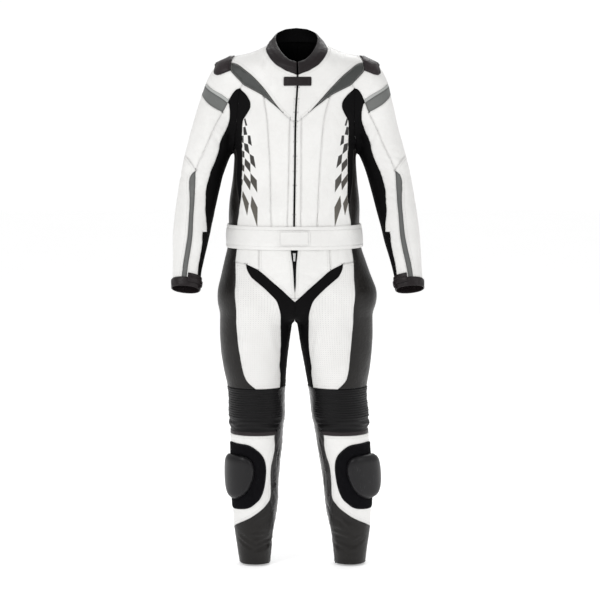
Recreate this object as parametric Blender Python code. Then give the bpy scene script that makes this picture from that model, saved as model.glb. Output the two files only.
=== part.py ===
"""Two-piece motorcycle race suit, hollow and upright, held out by its own cut with nobody in it.

Metres, +Z up. The suit faces -Y, the wearer's left is +X, and the origin is the middle of the
neck base, where a wearer's shoulders carry it. Every panel lies on one smooth form: a trunk, two
sleeves and two legs, each an oval tube read from a short table and blended where they meet. The
panels are cut from that form along named seams, and each is a thin wall of its own.
"""

import math
from enum import Enum

import bmesh
import bpy
import numpy as np
from mathutils import Vector
from mathutils.geometry import delaunay_2d_cdt

MM = 0.001

# Cloth and joins.
WALL = 2.0 * MM  # leather and lining together
SEAM_HALF_GAP = 0.15 * MM
ZIP_HALF_GAP = 1.8 * MM
LIFT = 0.3 * MM  # clear of the panel underneath
PATCH_WALL = 1.5 * MM

# Heights that several pieces share.
BELT_TOP = -441 * MM
BELT_BOTTOM = -503 * MM
JACKET_HEM = -468 * MM
TROUSER_TOP = -478 * MM
FAN_HEIGHT = -130 * MM  # above this the trunk is read by slanted rays
CROTCH_FAN_HEIGHT = -620 * MM
LEG_HEM = -1367 * MM
KNEE_TOP = -878 * MM
RIB_PITCH = 6.4 * MM
RIB_COUNT = 13
RIB_HEIGHT = 1.8 * MM

TRUNK_SQUARENESS = 2.35
LIMB_SQUARENESS = 2.1
LOWEST_TRUNK = -690 * MM
HIGHEST_TRUNK = 62 * MM
HIGHEST_LEG = -600 * MM
ARMPIT_BLEND = 14 * MM
SHOULDER_BLEND = 31 * MM

# height, half width, depth to the front, depth to the back
TRUNK = np.array([
    (-720, 120, 80, 95),
    (-660, 192, 108, 122),
    (-590, 199, 117, 128),
    (-545, 190, 119, 121),
    (-500, 179, 116, 112),
    (-450, 176, 114, 106),
    (-390, 175, 117, 104),
    (-320, 167, 122, 108),
    (-260, 163, 127, 114),
    (-200, 168, 130, 120),
    (-130, 172, 127, 124),
    (-75, 164, 114, 120),
    (-35, 146, 96, 106),
    (0, 118, 84, 92),
    (22, 94, 75, 80),
    (38, 74, 70, 74),
    (62, 60, 66, 70),
], float) * MM

# across, depth, height of the middle line; half width, depth to the front, depth to the back
SLEEVE = np.array([
    (40, 5, -62, 62, 70, 75),
    (110, 5, -57, 66, 72, 76),
    (163, 5, -64, 68, 70, 74),
    (195, 5, -135, 67, 66, 68),
    (219, 8, -205, 62, 63, 64),
    (244, 10, -285, 57, 58, 60),
    (264, -12, -390, 53, 52, 52),
    (277, -42, -480, 48, 46, 46),
    (285, -65, -545, 40, 40, 40),
    (291, -90, -612, 35, 38, 38),
], float) * MM

# height, across, half width, middle depth, depth to the front, depth to the back
LEG = np.array([
    (-1395, 128, 39, 6, 44, 48),
    (-1350, 130, 44, 8, 46, 52),
    (-1285, 131, 52, 8, 50, 60),
    (-1220, 127, 60, 5, 54, 70),
    (-1134, 125, 65, -3, 62, 72),
    (-1048, 118, 69, -10, 70, 70),
    (-1005, 115, 71, -13, 74, 72),
    (-960, 112, 75, -13, 80, 76),
    (-897, 109, 76, -10, 84, 80),
    (-830, 110, 85, -6, 92, 94),
    (-745, 107, 95, -2, 100, 106),
    (-713, 105, 97, 0, 104, 112),
    (-660, 104, 96, 0, 106, 116),
    (-600, 104, 88, 0, 100, 110),
], float) * MM

# height, how far the pose sets everything there towards the wearer's left
LEAN = np.array([
    (-1400, 18),
    (-1280, 16),
    (-1134, 13),
    (-1000, 8),
    (-900, 3),
    (-780, -3),
    (-600, -3),
    (-480, -5),
    (-300, -3),
    (-130, 0),
    (-60, 4),
    (0, 3),
    (80, 1),
], float) * MM

# height, how much further out the left sleeve hangs than the right one
SLEEVE_SPREAD = np.array([
    (-700, 16),
    (-600, 15),
    (-450, 11),
    (-330, 5),
    (-230, 0),
    (100, 0),
], float) * MM
SPREAD_FROM = 175 * MM
SPREAD_FULL = 225 * MM

# side of the cloth (-1 front, 1 back), across, height, turn of the run from upright in degrees,
# half length, half width, depth (positive is a trough, negative a ridge)
FOLDS = (
    (-1, 232, -252, 52, 46, 15, 4.0),
    (-1, 270, -276, 66, 34, 13, -3.5),
    (-1, 262, -330, 30, 40, 14, 3.0),
    (-1, 208, -170, 20, 60, 16, 2.5),
    (-1, 118, -420, 62, 46, 14, 3.0),
    (-1, 60, -400, 78, 44, 14, -2.5),
    (-1, 84, -640, 40, 60, 16, 3.0),
    (-1, 112, -780, 8, 90, 18, 3.0),
    (-1, 66, -720, -12, 70, 14, -2.5),
    (-1, 150, -700, 10, 90, 18, 2.5),
    (-1, 118, -986, 86, 60, 9, 4.0),
    (-1, 104, -1300, 70, 44, 14, 3.0),
    (1, 60, -150, 25, 80, 20, 3.5),
    (1, 96, -320, 12, 90, 20, -3.0),
    (1, 50, -400, 80, 70, 16, 4.0),
    (1, 90, -690, 76, 70, 18, 5.0),
    (1, 104, -760, 82, 60, 16, 4.0),
    (1, 112, -960, 84, 60, 18, 6.0),
    (1, 112, -1010, 80, 54, 16, -4.0),
    (1, 120, -1180, 70, 50, 18, 3.5),
    (1, 248, -300, 74, 40, 15, 4.0),
    (1, 228, -210, 40, 50, 16, -3.0),
)
FOLD_SIDE_FADE = 25 * MM

SHARP_ANGLE = 50
BELT_LIFT = 1.4 * MM
BELT_SWELL = 2.4 * MM
NECK_TURNS = np.arange(0, 181, 10)
COLLAR_WALL = 3 * MM
COLLAR_SEAM = 0.5 * MM
COLLAR_ROLL = 5 * MM
COLLAR_FRONT_TURN = 1.4  # degrees, where each end of the collar stops beside the zip
COLLAR_RIM_SIDE = 62 * MM
COLLAR_RIM_FRONT = 84 * MM
COLLAR_RIM_BACK = 72 * MM
# degrees from the front, height in mm
COLLAR_RIM = ((0, -8), (20, -2), (35, 8), (60, 30), (90, 56), (120, 70), (150, 79), (180, 82))
PATCH_COLUMNS = 5
ZIP_RISES = np.linspace(-60, JACKET_HEM / MM, 18)
# width, how far in front of the form its back is, thickness
JACKET_TAPE = (14 * MM, -4.2 * MM, 1.4 * MM)
FLY_TAPE = (24 * MM, -4.3 * MM, 1.4 * MM)
SLIDER_HEIGHT = -516 * MM
SLIDER_SIZE = (8 * MM, 4 * MM, 11 * MM)
SLIDER_CLEARANCE = 0.8 * MM
PULL_SIZE = (6 * MM, 1.2 * MM, 20 * MM)
PULL_CLEARANCE = 1.2 * MM
PULL_AXIS_ABOVE = 3 * MM
PULL_TOP_PAST_AXIS = 0.8 * MM
CUFF_LENGTH = 20
CUFF_LAP = 5
CUFF_LIFT = 1.0 * MM
CUFF_WALL = 2.6 * MM
# degrees from the front towards the outside, how far up its strap lies above the ring in mm
CUFF_STRAP = (
    (-136, 0), (-128, 14), (-112, 17), (-90, 21), (-70, 24), (-50, 27), (-30, 30), (-14, 33), (-7, 3),
    (0, 0), (15, 0), (30, 0), (45, 0), (60, 0), (75, 0), (90, 0), (105, 0), (120, 0), (135, 0),
    (150, 0), (165, 0), (180, 0), (195, 0), (210, 0),
)
THROAT_TAB = (73 * MM, 0.6 * MM, 2.4 * MM)
BELT_TAB = (84 * MM, 6.0 * MM, 1.8 * MM)

# What lies on a panel, and that panel.
OVERLAYS = {"knee_slider": "velcro", "velcro": "knee_panel", "shoulder_cup": "sleeve_cap"}
# How far above the form a piece starts, and its thickness at its edge.
RELIEFS = {
    "velcro": (LIFT, PATCH_WALL),
    "knee_slider": (LIFT * 2 + PATCH_WALL, 4 * MM),
    "shoulder_cup": (LIFT, 2.5 * MM),
}
# How wide a piece's rounded edge is, and how high it rises.
DOMES = {"knee_slider": (26 * MM, 22 * MM), "shoulder_cup": (30 * MM, 6 * MM)}

# colour, roughness, metallic
FINISHES = {
    "white_leather": ((0.83, 0.82, 0.80), 0.45, 0),
    "black_leather": ((0.025, 0.022, 0.024), 0.42, 0),
    "grey_leather": ((0.07, 0.07, 0.072), 0.5, 0),
    "charcoal_leather": ((0.045, 0.043, 0.042), 0.5, 0),
    "black_stretch": ((0.012, 0.011, 0.013), 0.85, 0),
    "loop_pile": ((0.02, 0.02, 0.021), 0.95, 0),
    "hard_plastic": ((0.035, 0.036, 0.04), 0.35, 0),
    "zip_tape": ((0.012, 0.012, 0.012), 0.8, 0),
    "zip_metal": ((0.7, 0.7, 0.7), 0.3, 1),
}
PANEL_FINISHES = {
    "chest_yoke": "white_leather",
    "chest_wedge": "grey_leather",
    "front_centre": "white_leather",
    "chest_side": "white_leather",
    "side_stretch": "black_stretch",
    "side_leather": "charcoal_leather",
    "back_panel": "white_leather",
    "sleeve_cap": "white_leather",
    "shoulder_cup": "black_leather",
    "arm_band": "grey_leather",
    "upper_arm": "white_leather",
    "sleeve_front": "white_leather",
    "forearm": "white_leather",
    "forearm_stripe": "grey_leather",
    "underarm_stretch": "black_stretch",
    "hip_front": "white_leather",
    "gusset": "black_stretch",
    "thigh_front": "white_leather",
    "thigh_side": "charcoal_leather",
    "trouser_back": "charcoal_leather",
    "accordion": "black_stretch",
    "knee_panel": "white_leather",
    "velcro": "loop_pile",
    "knee_slider": "hard_plastic",
    "calf": "charcoal_leather",
}


class View(Enum):
    """Where a seam's points are read from, or how they are given."""

    FRONT = "across and height, on the cloth that faces forwards"
    BACK = "across and height, on the cloth that faces backwards"
    NEAR = "across, depth and height close to the cloth"
    ROUND = "degrees round the tube, and height or distance along it"


def read_table(table, at):
    """The smooth curve through a table whose first column is the place along it."""
    stations, values = table[:, 0], table[:, 1:]
    slopes = np.gradient(values, stations, axis=0)
    at = np.asarray(at, float)
    index = np.clip(np.searchsorted(stations, at) - 1, 0, len(stations) - 2)
    span = stations[index + 1] - stations[index]
    part = np.clip((at - stations[index]) / span, 0, 1)[..., None]
    span = span[..., None]
    start = (1 + 2 * part) * (1 - part) ** 2 * values[index]
    leave = part * (1 - part) ** 2 * span * slopes[index]
    finish = part * part * (3 - 2 * part) * values[index + 1]
    arrive = part * part * (part - 1) * span * slopes[index + 1]
    return start + leave + finish + arrive


def smooth_min(first, second, reach):
    """The smaller of two fields, rounded where they are closer than reach."""
    near = np.clip(1 - np.abs(first - second) / reach, 0, None)
    return np.minimum(first, second) - near * near * reach / 4


def smooth_max(first, second, reach):
    """The larger of two fields, rounded where they are closer than reach."""
    return -smooth_min(-first, -second, reach)


def smooth_step(start, end, at):
    """0 before start and 1 past end, with a soft change between them."""
    part = np.clip((at - start) / (end - start), 0, 1)
    return part * part * (3 - 2 * part)


def oval(across, deep, half_width, depth, squareness):
    """About the distance outside an oval of this half width and depth."""
    ratio = (np.abs(across) / half_width) ** squareness + (np.abs(deep) / depth) ** squareness
    return (ratio ** (1 / squareness) - 1) * np.minimum(half_width, depth)


def trunk_field(points):
    """Below zero inside the trunk."""
    half_width, front, back = read_table(TRUNK, points[:, 2]).T
    depth = np.where(points[:, 1] < 0, front, back)
    tube = oval(points[:, 0], points[:, 1], half_width, depth, TRUNK_SQUARENESS)
    tube = smooth_max(tube, LOWEST_TRUNK - points[:, 2], 0.04)
    return smooth_max(tube, points[:, 2] - HIGHEST_TRUNK, 0.02)


SLEEVE_STEPS = np.linalg.norm(np.diff(SLEEVE[:, :3], axis=0), axis=1)
SLEEVE_ALONG = np.concatenate([[0], np.cumsum(SLEEVE_STEPS)])
SLEEVE_LENGTH = SLEEVE_ALONG[-1]
SLEEVE_BY_LENGTH = np.column_stack([SLEEVE_ALONG, SLEEVE])
SLEEVE_SAMPLES = np.linspace(0, SLEEVE_LENGTH, 90)
SLEEVE_LINE = read_table(SLEEVE_BY_LENGTH, SLEEVE_SAMPLES)[:, :3]


def sleeve_frame(along):
    """Sizes, and the directions along, to the front and outwards, at a distance along the sleeve."""
    half_step = 2 * MM
    sizes = read_table(SLEEVE_BY_LENGTH, along)
    before = read_table(SLEEVE_BY_LENGTH, np.clip(along - half_step, 0, SLEEVE_LENGTH))
    after = read_table(SLEEVE_BY_LENGTH, np.clip(along + half_step, 0, SLEEVE_LENGTH))
    tangent = after[:, :3] - before[:, :3]
    tangent /= np.linalg.norm(tangent, axis=1)[:, None]
    front = np.tile([0.0, -1.0, 0.0], (len(sizes), 1))
    front -= (front * tangent).sum(1)[:, None] * tangent
    front /= np.linalg.norm(front, axis=1)[:, None]
    return sizes, tangent, front, np.cross(front, tangent)


def sleeve_place(points):
    """Distance along the sleeve, how far to the front and outwards, and the sizes there."""
    apart = ((points[:, None, :] - SLEEVE_LINE[None]) ** 2).sum(2)
    along = SLEEVE_SAMPLES[apart.argmin(1)]
    for _ in range(3):
        sizes, tangent, front, outwards = sleeve_frame(along)
        step = ((points - sizes[:, :3]) * tangent).sum(1)
        along = np.clip(along + step, 0, SLEEVE_LENGTH)
    sizes, tangent, front, outwards = sleeve_frame(along)
    offset = points - sizes[:, :3]
    return along, (offset * front).sum(1), (offset * outwards).sum(1), sizes


def sleeve_field(points):
    """Below zero inside either sleeve, which runs on past its cuff."""
    mirrored = points * [1.0, 1.0, 1.0]
    mirrored[:, 0] = np.abs(mirrored[:, 0])
    _, front, outwards, sizes = sleeve_place(mirrored)
    depth = np.where(front > 0, sizes[:, 4], sizes[:, 5])
    return oval(front, outwards, depth, sizes[:, 3], LIMB_SQUARENESS)


def leg_field(points, side):
    """Below zero inside the leg on this side (1 or -1)."""
    across, half_width, middle, front, back = read_table(LEG, points[:, 2]).T
    deep = points[:, 1] - middle
    depth = np.where(deep < 0, front, back)
    tube = oval(points[:, 0] - side * across, deep, half_width, depth, LIMB_SQUARENESS)
    return smooth_max(tube, points[:, 2] - HIGHEST_LEG, 0.04)


def fold_field(points):
    """How far the folds push the cloth in."""
    total = np.zeros(len(points))
    across, height = np.abs(points[:, 0]), points[:, 2]
    for side, x, z, turn, half_length, half_width, depth in FOLDS:
        angle = math.radians(turn)
        dx, dz = across - x * MM, height - z * MM
        run = -dx * math.sin(angle) + dz * math.cos(angle)
        wide = dx * math.cos(angle) + dz * math.sin(angle)
        bump = np.exp(-(run / (half_length * MM)) ** 2 - (wide / (half_width * MM)) ** 2)
        facing = smooth_step(-FOLD_SIDE_FADE, FOLD_SIDE_FADE, side * points[:, 1])
        total += depth * MM * bump * facing
    return total


def form_field(points):
    """Below zero inside the suit, about the distance outside it."""
    points = np.asarray(points, float)
    field = np.full(len(points), 9.0)
    upper = points[:, 2] > -0.80
    field[upper] = trunk_field(points[upper])
    arms = points[:, 2] > -0.75
    if arms.any():
        reach = ARMPIT_BLEND + SHOULDER_BLEND * smooth_step(-0.22, -0.08, points[arms, 2])
        field[arms] = smooth_min(field[arms], sleeve_field(points[arms]), reach)
    lower = points[:, 2] < -0.50
    if lower.any():
        below = points[lower]
        legs = smooth_min(leg_field(below, 1), leg_field(below, -1), 0.02)
        field[lower] = smooth_min(field[lower], legs, 0.03)
    return field + fold_field(points)


def form_slope(points):
    """The field's gradient."""
    slope = np.zeros_like(points)
    reach = 0.5 * MM
    for axis in range(3):
        step = np.zeros(3)
        step[axis] = reach
        slope[:, axis] = (form_field(points + step) - form_field(points - step)) / (2 * reach)
    return slope


def form_normal(points):
    """Unit directions out of the cloth."""
    slope = form_slope(points)
    return slope / np.linalg.norm(slope, axis=1)[:, None]


def settle(points, rounds=6):
    """Moves points onto the form by the shortest way."""
    for _ in range(rounds):
        slope = form_slope(points)
        points = points - (form_field(points) / (slope**2).sum(1))[:, None] * slope
    return points


def cast(origins, directions, inside=True):
    """Where rays from inside the form leave it, or from outside reach it."""
    sign = -1 if inside else 1
    run = np.zeros(len(origins))
    for _ in range(40):
        field = form_field(origins + run[:, None] * directions)
        run += np.clip(sign * field * 0.75, -0.05, 0.05)
    return settle(origins + run[:, None] * directions, 2)


def posed(points):
    """The suit's slight lean, and its left sleeve a little further out."""
    moved = points.copy()
    spread = smooth_step(SPREAD_FROM, SPREAD_FULL, points[:, 0])
    moved[:, 0] += read_table(LEAN, points[:, 2])[:, 0]
    moved[:, 0] += spread * read_table(SLEEVE_SPREAD, points[:, 2])[:, 0]
    return moved


class Trunk:
    """The flat chart of half the trunk: turn from the front, and height or slant."""

    radius = 150 * MM

    def place(self, chart):
        """Points of the form under these points of the chart (in mm)."""
        turn, rise = chart[:, 0] * MM / self.radius, chart[:, 1] * MM
        lift = np.clip(rise - FAN_HEIGHT, 0, None) / self.radius
        flat = np.cos(lift)
        directions = np.column_stack([np.sin(turn) * flat, -np.cos(turn) * flat, np.sin(lift)])
        origins = np.zeros((len(chart), 3))
        origins[:, 2] = np.minimum(rise, FAN_HEIGHT)
        return cast(origins, directions)

    def chart(self, points):
        """The chart's points (in mm) over these points of the form."""
        turn = np.arctan2(points[:, 0], -points[:, 1])
        level = np.hypot(points[:, 0], points[:, 1])
        lift = np.arctan2(points[:, 2] - FAN_HEIGHT, level)
        rise = np.where(points[:, 2] > FAN_HEIGHT, FAN_HEIGHT + lift * self.radius, points[:, 2])
        return np.column_stack([turn * self.radius, rise]) / MM


class Sleeve:
    """The flat chart of a sleeve: turn from the front towards the outside, and length along it."""

    radius = 55 * MM

    def __init__(self, cut):
        self.cut = cut  # degrees, where the tube is slit to lie flat

    def place(self, chart):
        """Points of the form under these points of the chart (in mm)."""
        turn, along = chart[:, 0] * MM / self.radius, chart[:, 1] * MM
        sizes, _, front, outwards = sleeve_frame(along)
        directions = np.cos(turn)[:, None] * front + np.sin(turn)[:, None] * outwards
        return cast(sizes[:, :3], directions)

    def chart(self, points):
        """The chart's points (in mm) over these points of the form."""
        along, front, outwards, _ = sleeve_place(points)
        turn = np.arctan2(outwards, front)
        turn = np.where(turn < math.radians(self.cut), turn + 2 * math.pi, turn)
        return np.column_stack([turn * self.radius, along]) / MM


class Leg:
    """The flat chart of a trouser leg: turn from the outside towards the front, and height."""

    radius = 85 * MM

    def place(self, chart):
        """Points of the form under these points of the chart (in mm)."""
        turn, height = chart[:, 0] * MM / self.radius, chart[:, 1] * MM
        across, _, middle, _, _ = read_table(LEG, height).T
        directions = np.column_stack([np.cos(turn), -np.sin(turn), np.zeros(len(chart))])
        return cast(np.column_stack([across, middle, height]), directions)

    def chart(self, points):
        """The chart's points (in mm) over these points of the form."""
        across, _, middle, _, _ = read_table(LEG, points[:, 2]).T
        turn = np.arctan2(-(points[:, 1] - middle), points[:, 0] - across)
        return np.column_stack([turn * self.radius, points[:, 2]]) / MM


# Seam points in mm, as each View says. A seam of several rows runs on from one to the next.
ARMHOLE = (
    (View.BACK, ((154, -165), (160, -200))),
    (View.NEAR, ((167, 0, -224),)),
    (View.FRONT, ((160, -202), (156, -170), (155, -136), (154, -104), (152, -78), (145, -67))),
    (View.FRONT, ((161, -49), (176, -32), (177, -20), (175, -9))),
    (View.NEAR, ((167, 0, 8),)),
    (View.BACK, ((164, -16), (156, -48), (150, -85), (150, -125))),
)
SLEEVE_CUT = -140  # degrees round the sleeve of the slit that starts at the armhole's first point
CUFF_START = 684  # mm along the sleeve

# degrees from the front, height in mm
NECKLINE = ((0, -41), (18, -30), (33, -14), (50, 5), (75, 27), (90, 35), (120, 42), (150, 46), (180, 47))

TRUNK_SEAMS = {
    "wedge_top": (
        (View.FRONT, ((175, -9), (162, -16), (147, -26), (125, -45), (93, -81), (64, -107))),
        (View.FRONT, ((36, -138), (12, -159), (0, -166))),
    ),
    "wedge_bottom": (
        (View.FRONT, ((145, -67), (125, -77), (92, -94), (64, -115), (36, -138))),
    ),
    "princess": ((View.FRONT, ((87, -96), (75, -159), (67, -264), (63, -370), (61, -475))),),
    "stretch_front": (
        (View.FRONT, ((152, -78), (134, -94), (122, -113), (122, -128), (130, -144), (139, -160))),
        (View.FRONT, ((141, -179), (141, -240), (141, -319), (142, -359), (148, -413))),
        (View.FRONT, ((152, -435), (154, -475))),
    ),
    "stretch_back": (
        (View.NEAR, ((167, 0, -224),)),
        (View.FRONT, ((157, -241), (155, -307), (151, -347), (144, -386))),
    ),
    "side_back": (
        (View.BACK, ((160, -200),)),
        (View.ROUND, ((122, -240), (119, -350), (122, -475))),
    ),
    "shoulder": ((View.NEAR, ((76, 4, 36), (118, 6, 16), (167, 0, 8))),),
}
TRUNK_PANELS = {
    "chest_yoke": (View.FRONT, (100, -20)),
    "chest_wedge": (View.FRONT, (124, -62)),
    "front_centre": (View.FRONT, (40, -260)),
    "chest_side": (View.FRONT, (100, -240)),
    "side_stretch": (View.FRONT, (135, -120)),
    "side_leather": (View.ROUND, (100, -330)),
    "back_panel": (View.ROUND, (155, -200)),
}

SLEEVE_SEAMS = {
    "cup": (
        (View.FRONT, ((176, -32), (195, -37), (211, -41), (221, -36))),
        (View.NEAR, ((229, 4, -38),)),
        (View.BACK, ((221, -38), (205, -44), (182, -46), (156, -48))),
    ),
    "cap_bottom": ((View.FRONT, ((152, -78), (179, -108))),),
    "band_top": (
        (View.FRONT, ((179, -108), (198, -95), (221, -82), (240, -68))),
        (View.NEAR, ((252, 4, -62),)),
        (View.BACK, ((240, -70), (221, -84), (198, -98), (172, -112), (150, -125))),
    ),
    "band_bottom": (
        (View.FRONT, ((194, -141), (212, -132), (229, -122), (243, -110), (251, -100))),
        (View.NEAR, ((260, 4, -94),)),
        (View.BACK, ((251, -102), (243, -112), (229, -124), (212, -136), (190, -149), (154, -165))),
    ),
    "sleeve_front": (
        (View.FRONT, ((179, -108), (194, -141), (217, -185), (237, -232), (253, -267), (264, -296))),
    ),
    "elbow": (
        (View.FRONT, ((264, -296), (277, -276), (290, -262))),
        (View.NEAR, ((304, 10, -258),)),
        (View.BACK, ((292, -264), (268, -286), (244, -298))),
        (View.ROUND, ((205, 376), (226, 380))),
    ),
    "stripe_out": (
        (View.FRONT, ((264, -296), (278, -309), (282, -334), (279, -374), (280, -413), (283, -465))),
        (View.FRONT, ((289, -504), (296, -543), (301, -594))),
    ),
    "stripe_in": (
        (View.FRONT, ((264, -296), (265, -321), (266, -374), (268, -413), (270, -465))),
        (View.FRONT, ((275, -504), (282, -543), (289, -594))),
    ),
    "stretch_edge": (
        (View.FRONT, ((179, -108), (179, -116), (175, -145), (176, -164), (184, -188), (197, -214))),
        (View.FRONT, ((203, -241), (211, -268), (224, -300), (230, -321), (236, -348), (236, -374))),
        (View.FRONT, ((237, -403), (234, -427), (232, -459))),
    ),
    "stretch_step": ((View.FRONT, ((231, -459), (243, -458))),),
    "stretch_low": ((View.FRONT, ((243, -457), (247, -505), (254, -545), (259, -594))),),
}
SLEEVE_PANELS = {
    "sleeve_cap": (View.FRONT, (195, -65)),
    "arm_band": (View.FRONT, (225, -112)),
    "upper_arm": (View.FRONT, (245, -190)),
    "sleeve_front": (View.FRONT, (218, -232)),
    "forearm": (View.FRONT, (300, -420)),
    "forearm_stripe": (View.FRONT, (274, -413)),
    "underarm_stretch": (View.FRONT, (190, -260)),
    "shoulder_cup": (View.NEAR, (200, 0, 4)),
}

LEG_SEAMS = {
    "thigh_side": (
        (View.FRONT, ((151, -470), (156, -522), (158, -572), (160, -612), (157, -665), (156, -705))),
        (View.FRONT, ((151, -759), (146, -799), (141, -831), (134, -853), (124, -866), (106, -881))),
    ),
    "knee_top": ((View.ROUND, ((-52.5, -878), (60, -878), (186, -878))),),
    "knee_band": ((View.ROUND, ((-60, -1006), (40, -1006), (132, -1006))),),
    "gusset_top": (
        (View.FRONT, ((129, -542), (108, -551), (92, -560), (66, -582), (40, -605), (13, -630))),
        (View.FRONT, ((2, -640),)),
    ),
    "gusset_bottom": (
        (View.FRONT, ((129, -542), (128, -552), (124, -563), (116, -576), (98, -591), (77, -609))),
        (View.FRONT, ((58, -628), (48, -641), (42, -658), (38, -675), (37, -707), (37, -748))),
        (View.FRONT, ((39, -789), (42, -819), (41, -841), (44, -878))),
    ),
    "hip": ((View.FRONT, ((157, -538), (129, -542))),),
    "shin_inner": (
        (View.FRONT, ((44, -878), (48, -890), (45, -926), (43, -946), (51, -977), (65, -1006))),
        (View.FRONT, ((66, -1034), (70, -1062), (78, -1092), (81, -1131), (82, -1174), (85, -1188))),
    ),
    "shin_bottom": (
        (View.FRONT, ((85, -1188), (99, -1206), (118, -1222), (140, -1237), (168, -1252))),
        (View.ROUND, ((0, -1268), (-40, -1262), (-62, -1250))),
    ),
    "back": (
        (View.ROUND, ((-42, -472), (-46, -600), (-52, -878), (-60, -1000), (-60, -1200), (-58, -1372))),
    ),
    "velcro": (
        (View.FRONT, ((160, -1029), (133, -1033), (107, -1053), (96, -1073), (93, -1102), (97, -1138))),
        (View.FRONT, ((103, -1163), (112, -1183), (126, -1197), (139, -1207), (156, -1212))),
        (View.ROUND, ((14, -1213), (-12, -1196), (-25, -1155), (-27, -1110), (-23, -1070))),
        (View.ROUND, ((-10, -1042), (14, -1029))),
    ),
    "slider": (
        (View.FRONT, ((161, -1062), (142, -1061), (132, -1078), (132, -1100), (137, -1134))),
        (View.FRONT, ((143, -1157), (155, -1172), (166, -1182))),
        (View.ROUND, ((4, -1183), (-12, -1165), (-16, -1125), (-12, -1085), (6, -1064))),
    ),
    "fly": ((View.FRONT, ((10, -472), (9, -508), (5, -542), (2.5, -596), (-1, -626))),),
}
LEG_PANELS = {
    "hip_front": (View.FRONT, (50, -540)),
    "gusset": (View.FRONT, (70, -597)),
    "thigh_front": (View.FRONT, (100, -700)),
    "thigh_side": (View.ROUND, (0, -700)),
    "trouser_back": (View.ROUND, (-100, -700)),
    "accordion": (View.ROUND, (60, -921)),
    "knee_panel": (View.ROUND, (100, -1016)),
    "velcro": (View.FRONT, (112, -1150)),
    "knee_slider": (View.ROUND, (40, -1120)),
    "calf": (View.ROUND, (60, -1320)),
}
CLOSED_SEAMS = ("velcro", "slider")
SLIDER_RINGS = (0.82, 0.5)  # the puck's inner rings, as parts of its outline

TRUNK_SPACING, SLEEVE_SPACING, LEG_SPACING = 50, 38, 48
SEAM_STEP = 27
SNAP = 9
RIB_STEP = 42
OVERRUN = 2.5


def spots(chart, rows):
    """The chart's points of a seam's rows, and which are exactly on it."""
    found = []
    for view, points in rows:
        points = np.array(points, float)
        if view is View.ROUND:
            turns = np.radians(points[:, 0]) * chart.radius / MM
            found.append(np.column_stack([turns, points[:, 1]]))
            continue
        if view is View.NEAR:
            found.append(chart.chart(settle(points * MM)))
            continue
        side = -1 if view is View.FRONT else 1
        origins = np.column_stack([points[:, 0], 300.0 * side * np.ones(len(points)), points[:, 1]]) * MM
        directions = np.tile([0.0, -1.0 * side, 0.0], (len(points), 1))
        found.append(chart.chart(cast(origins, directions, inside=False)))
    return np.concatenate(found)


def through(controls, step, closed=False):
    """A smooth line through control points, with a point at least every step."""
    controls = np.asarray(controls, float)
    if closed:
        controls = np.vstack([controls[-1], controls, controls[:2]])
    else:
        first = 2 * controls[0] - controls[1]
        last = 2 * controls[-1] - controls[-2]
        controls = np.vstack([first, controls, last])
    line = []
    for before, start, end, after in zip(controls, controls[1:], controls[2:], controls[3:]):
        count = max(1, math.ceil(np.linalg.norm(end - start) / step))
        leave, arrive = (end - before) / 2, (after - start) / 2
        limit = np.linalg.norm(end - start)
        leave *= min(1.0, limit / max(np.linalg.norm(leave), 1e-12))
        arrive *= min(1.0, limit / max(np.linalg.norm(arrive), 1e-12))
        for part in np.arange(count) / count:
            point = (1 + 2 * part) * (1 - part) ** 2 * start + part * (1 - part) ** 2 * leave
            point = point + part**2 * (3 - 2 * part) * end + part**2 * (part - 1) * arrive
            line.append(point)
    if not closed:
        line.append(controls[-2])
    return np.array(line)


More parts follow.
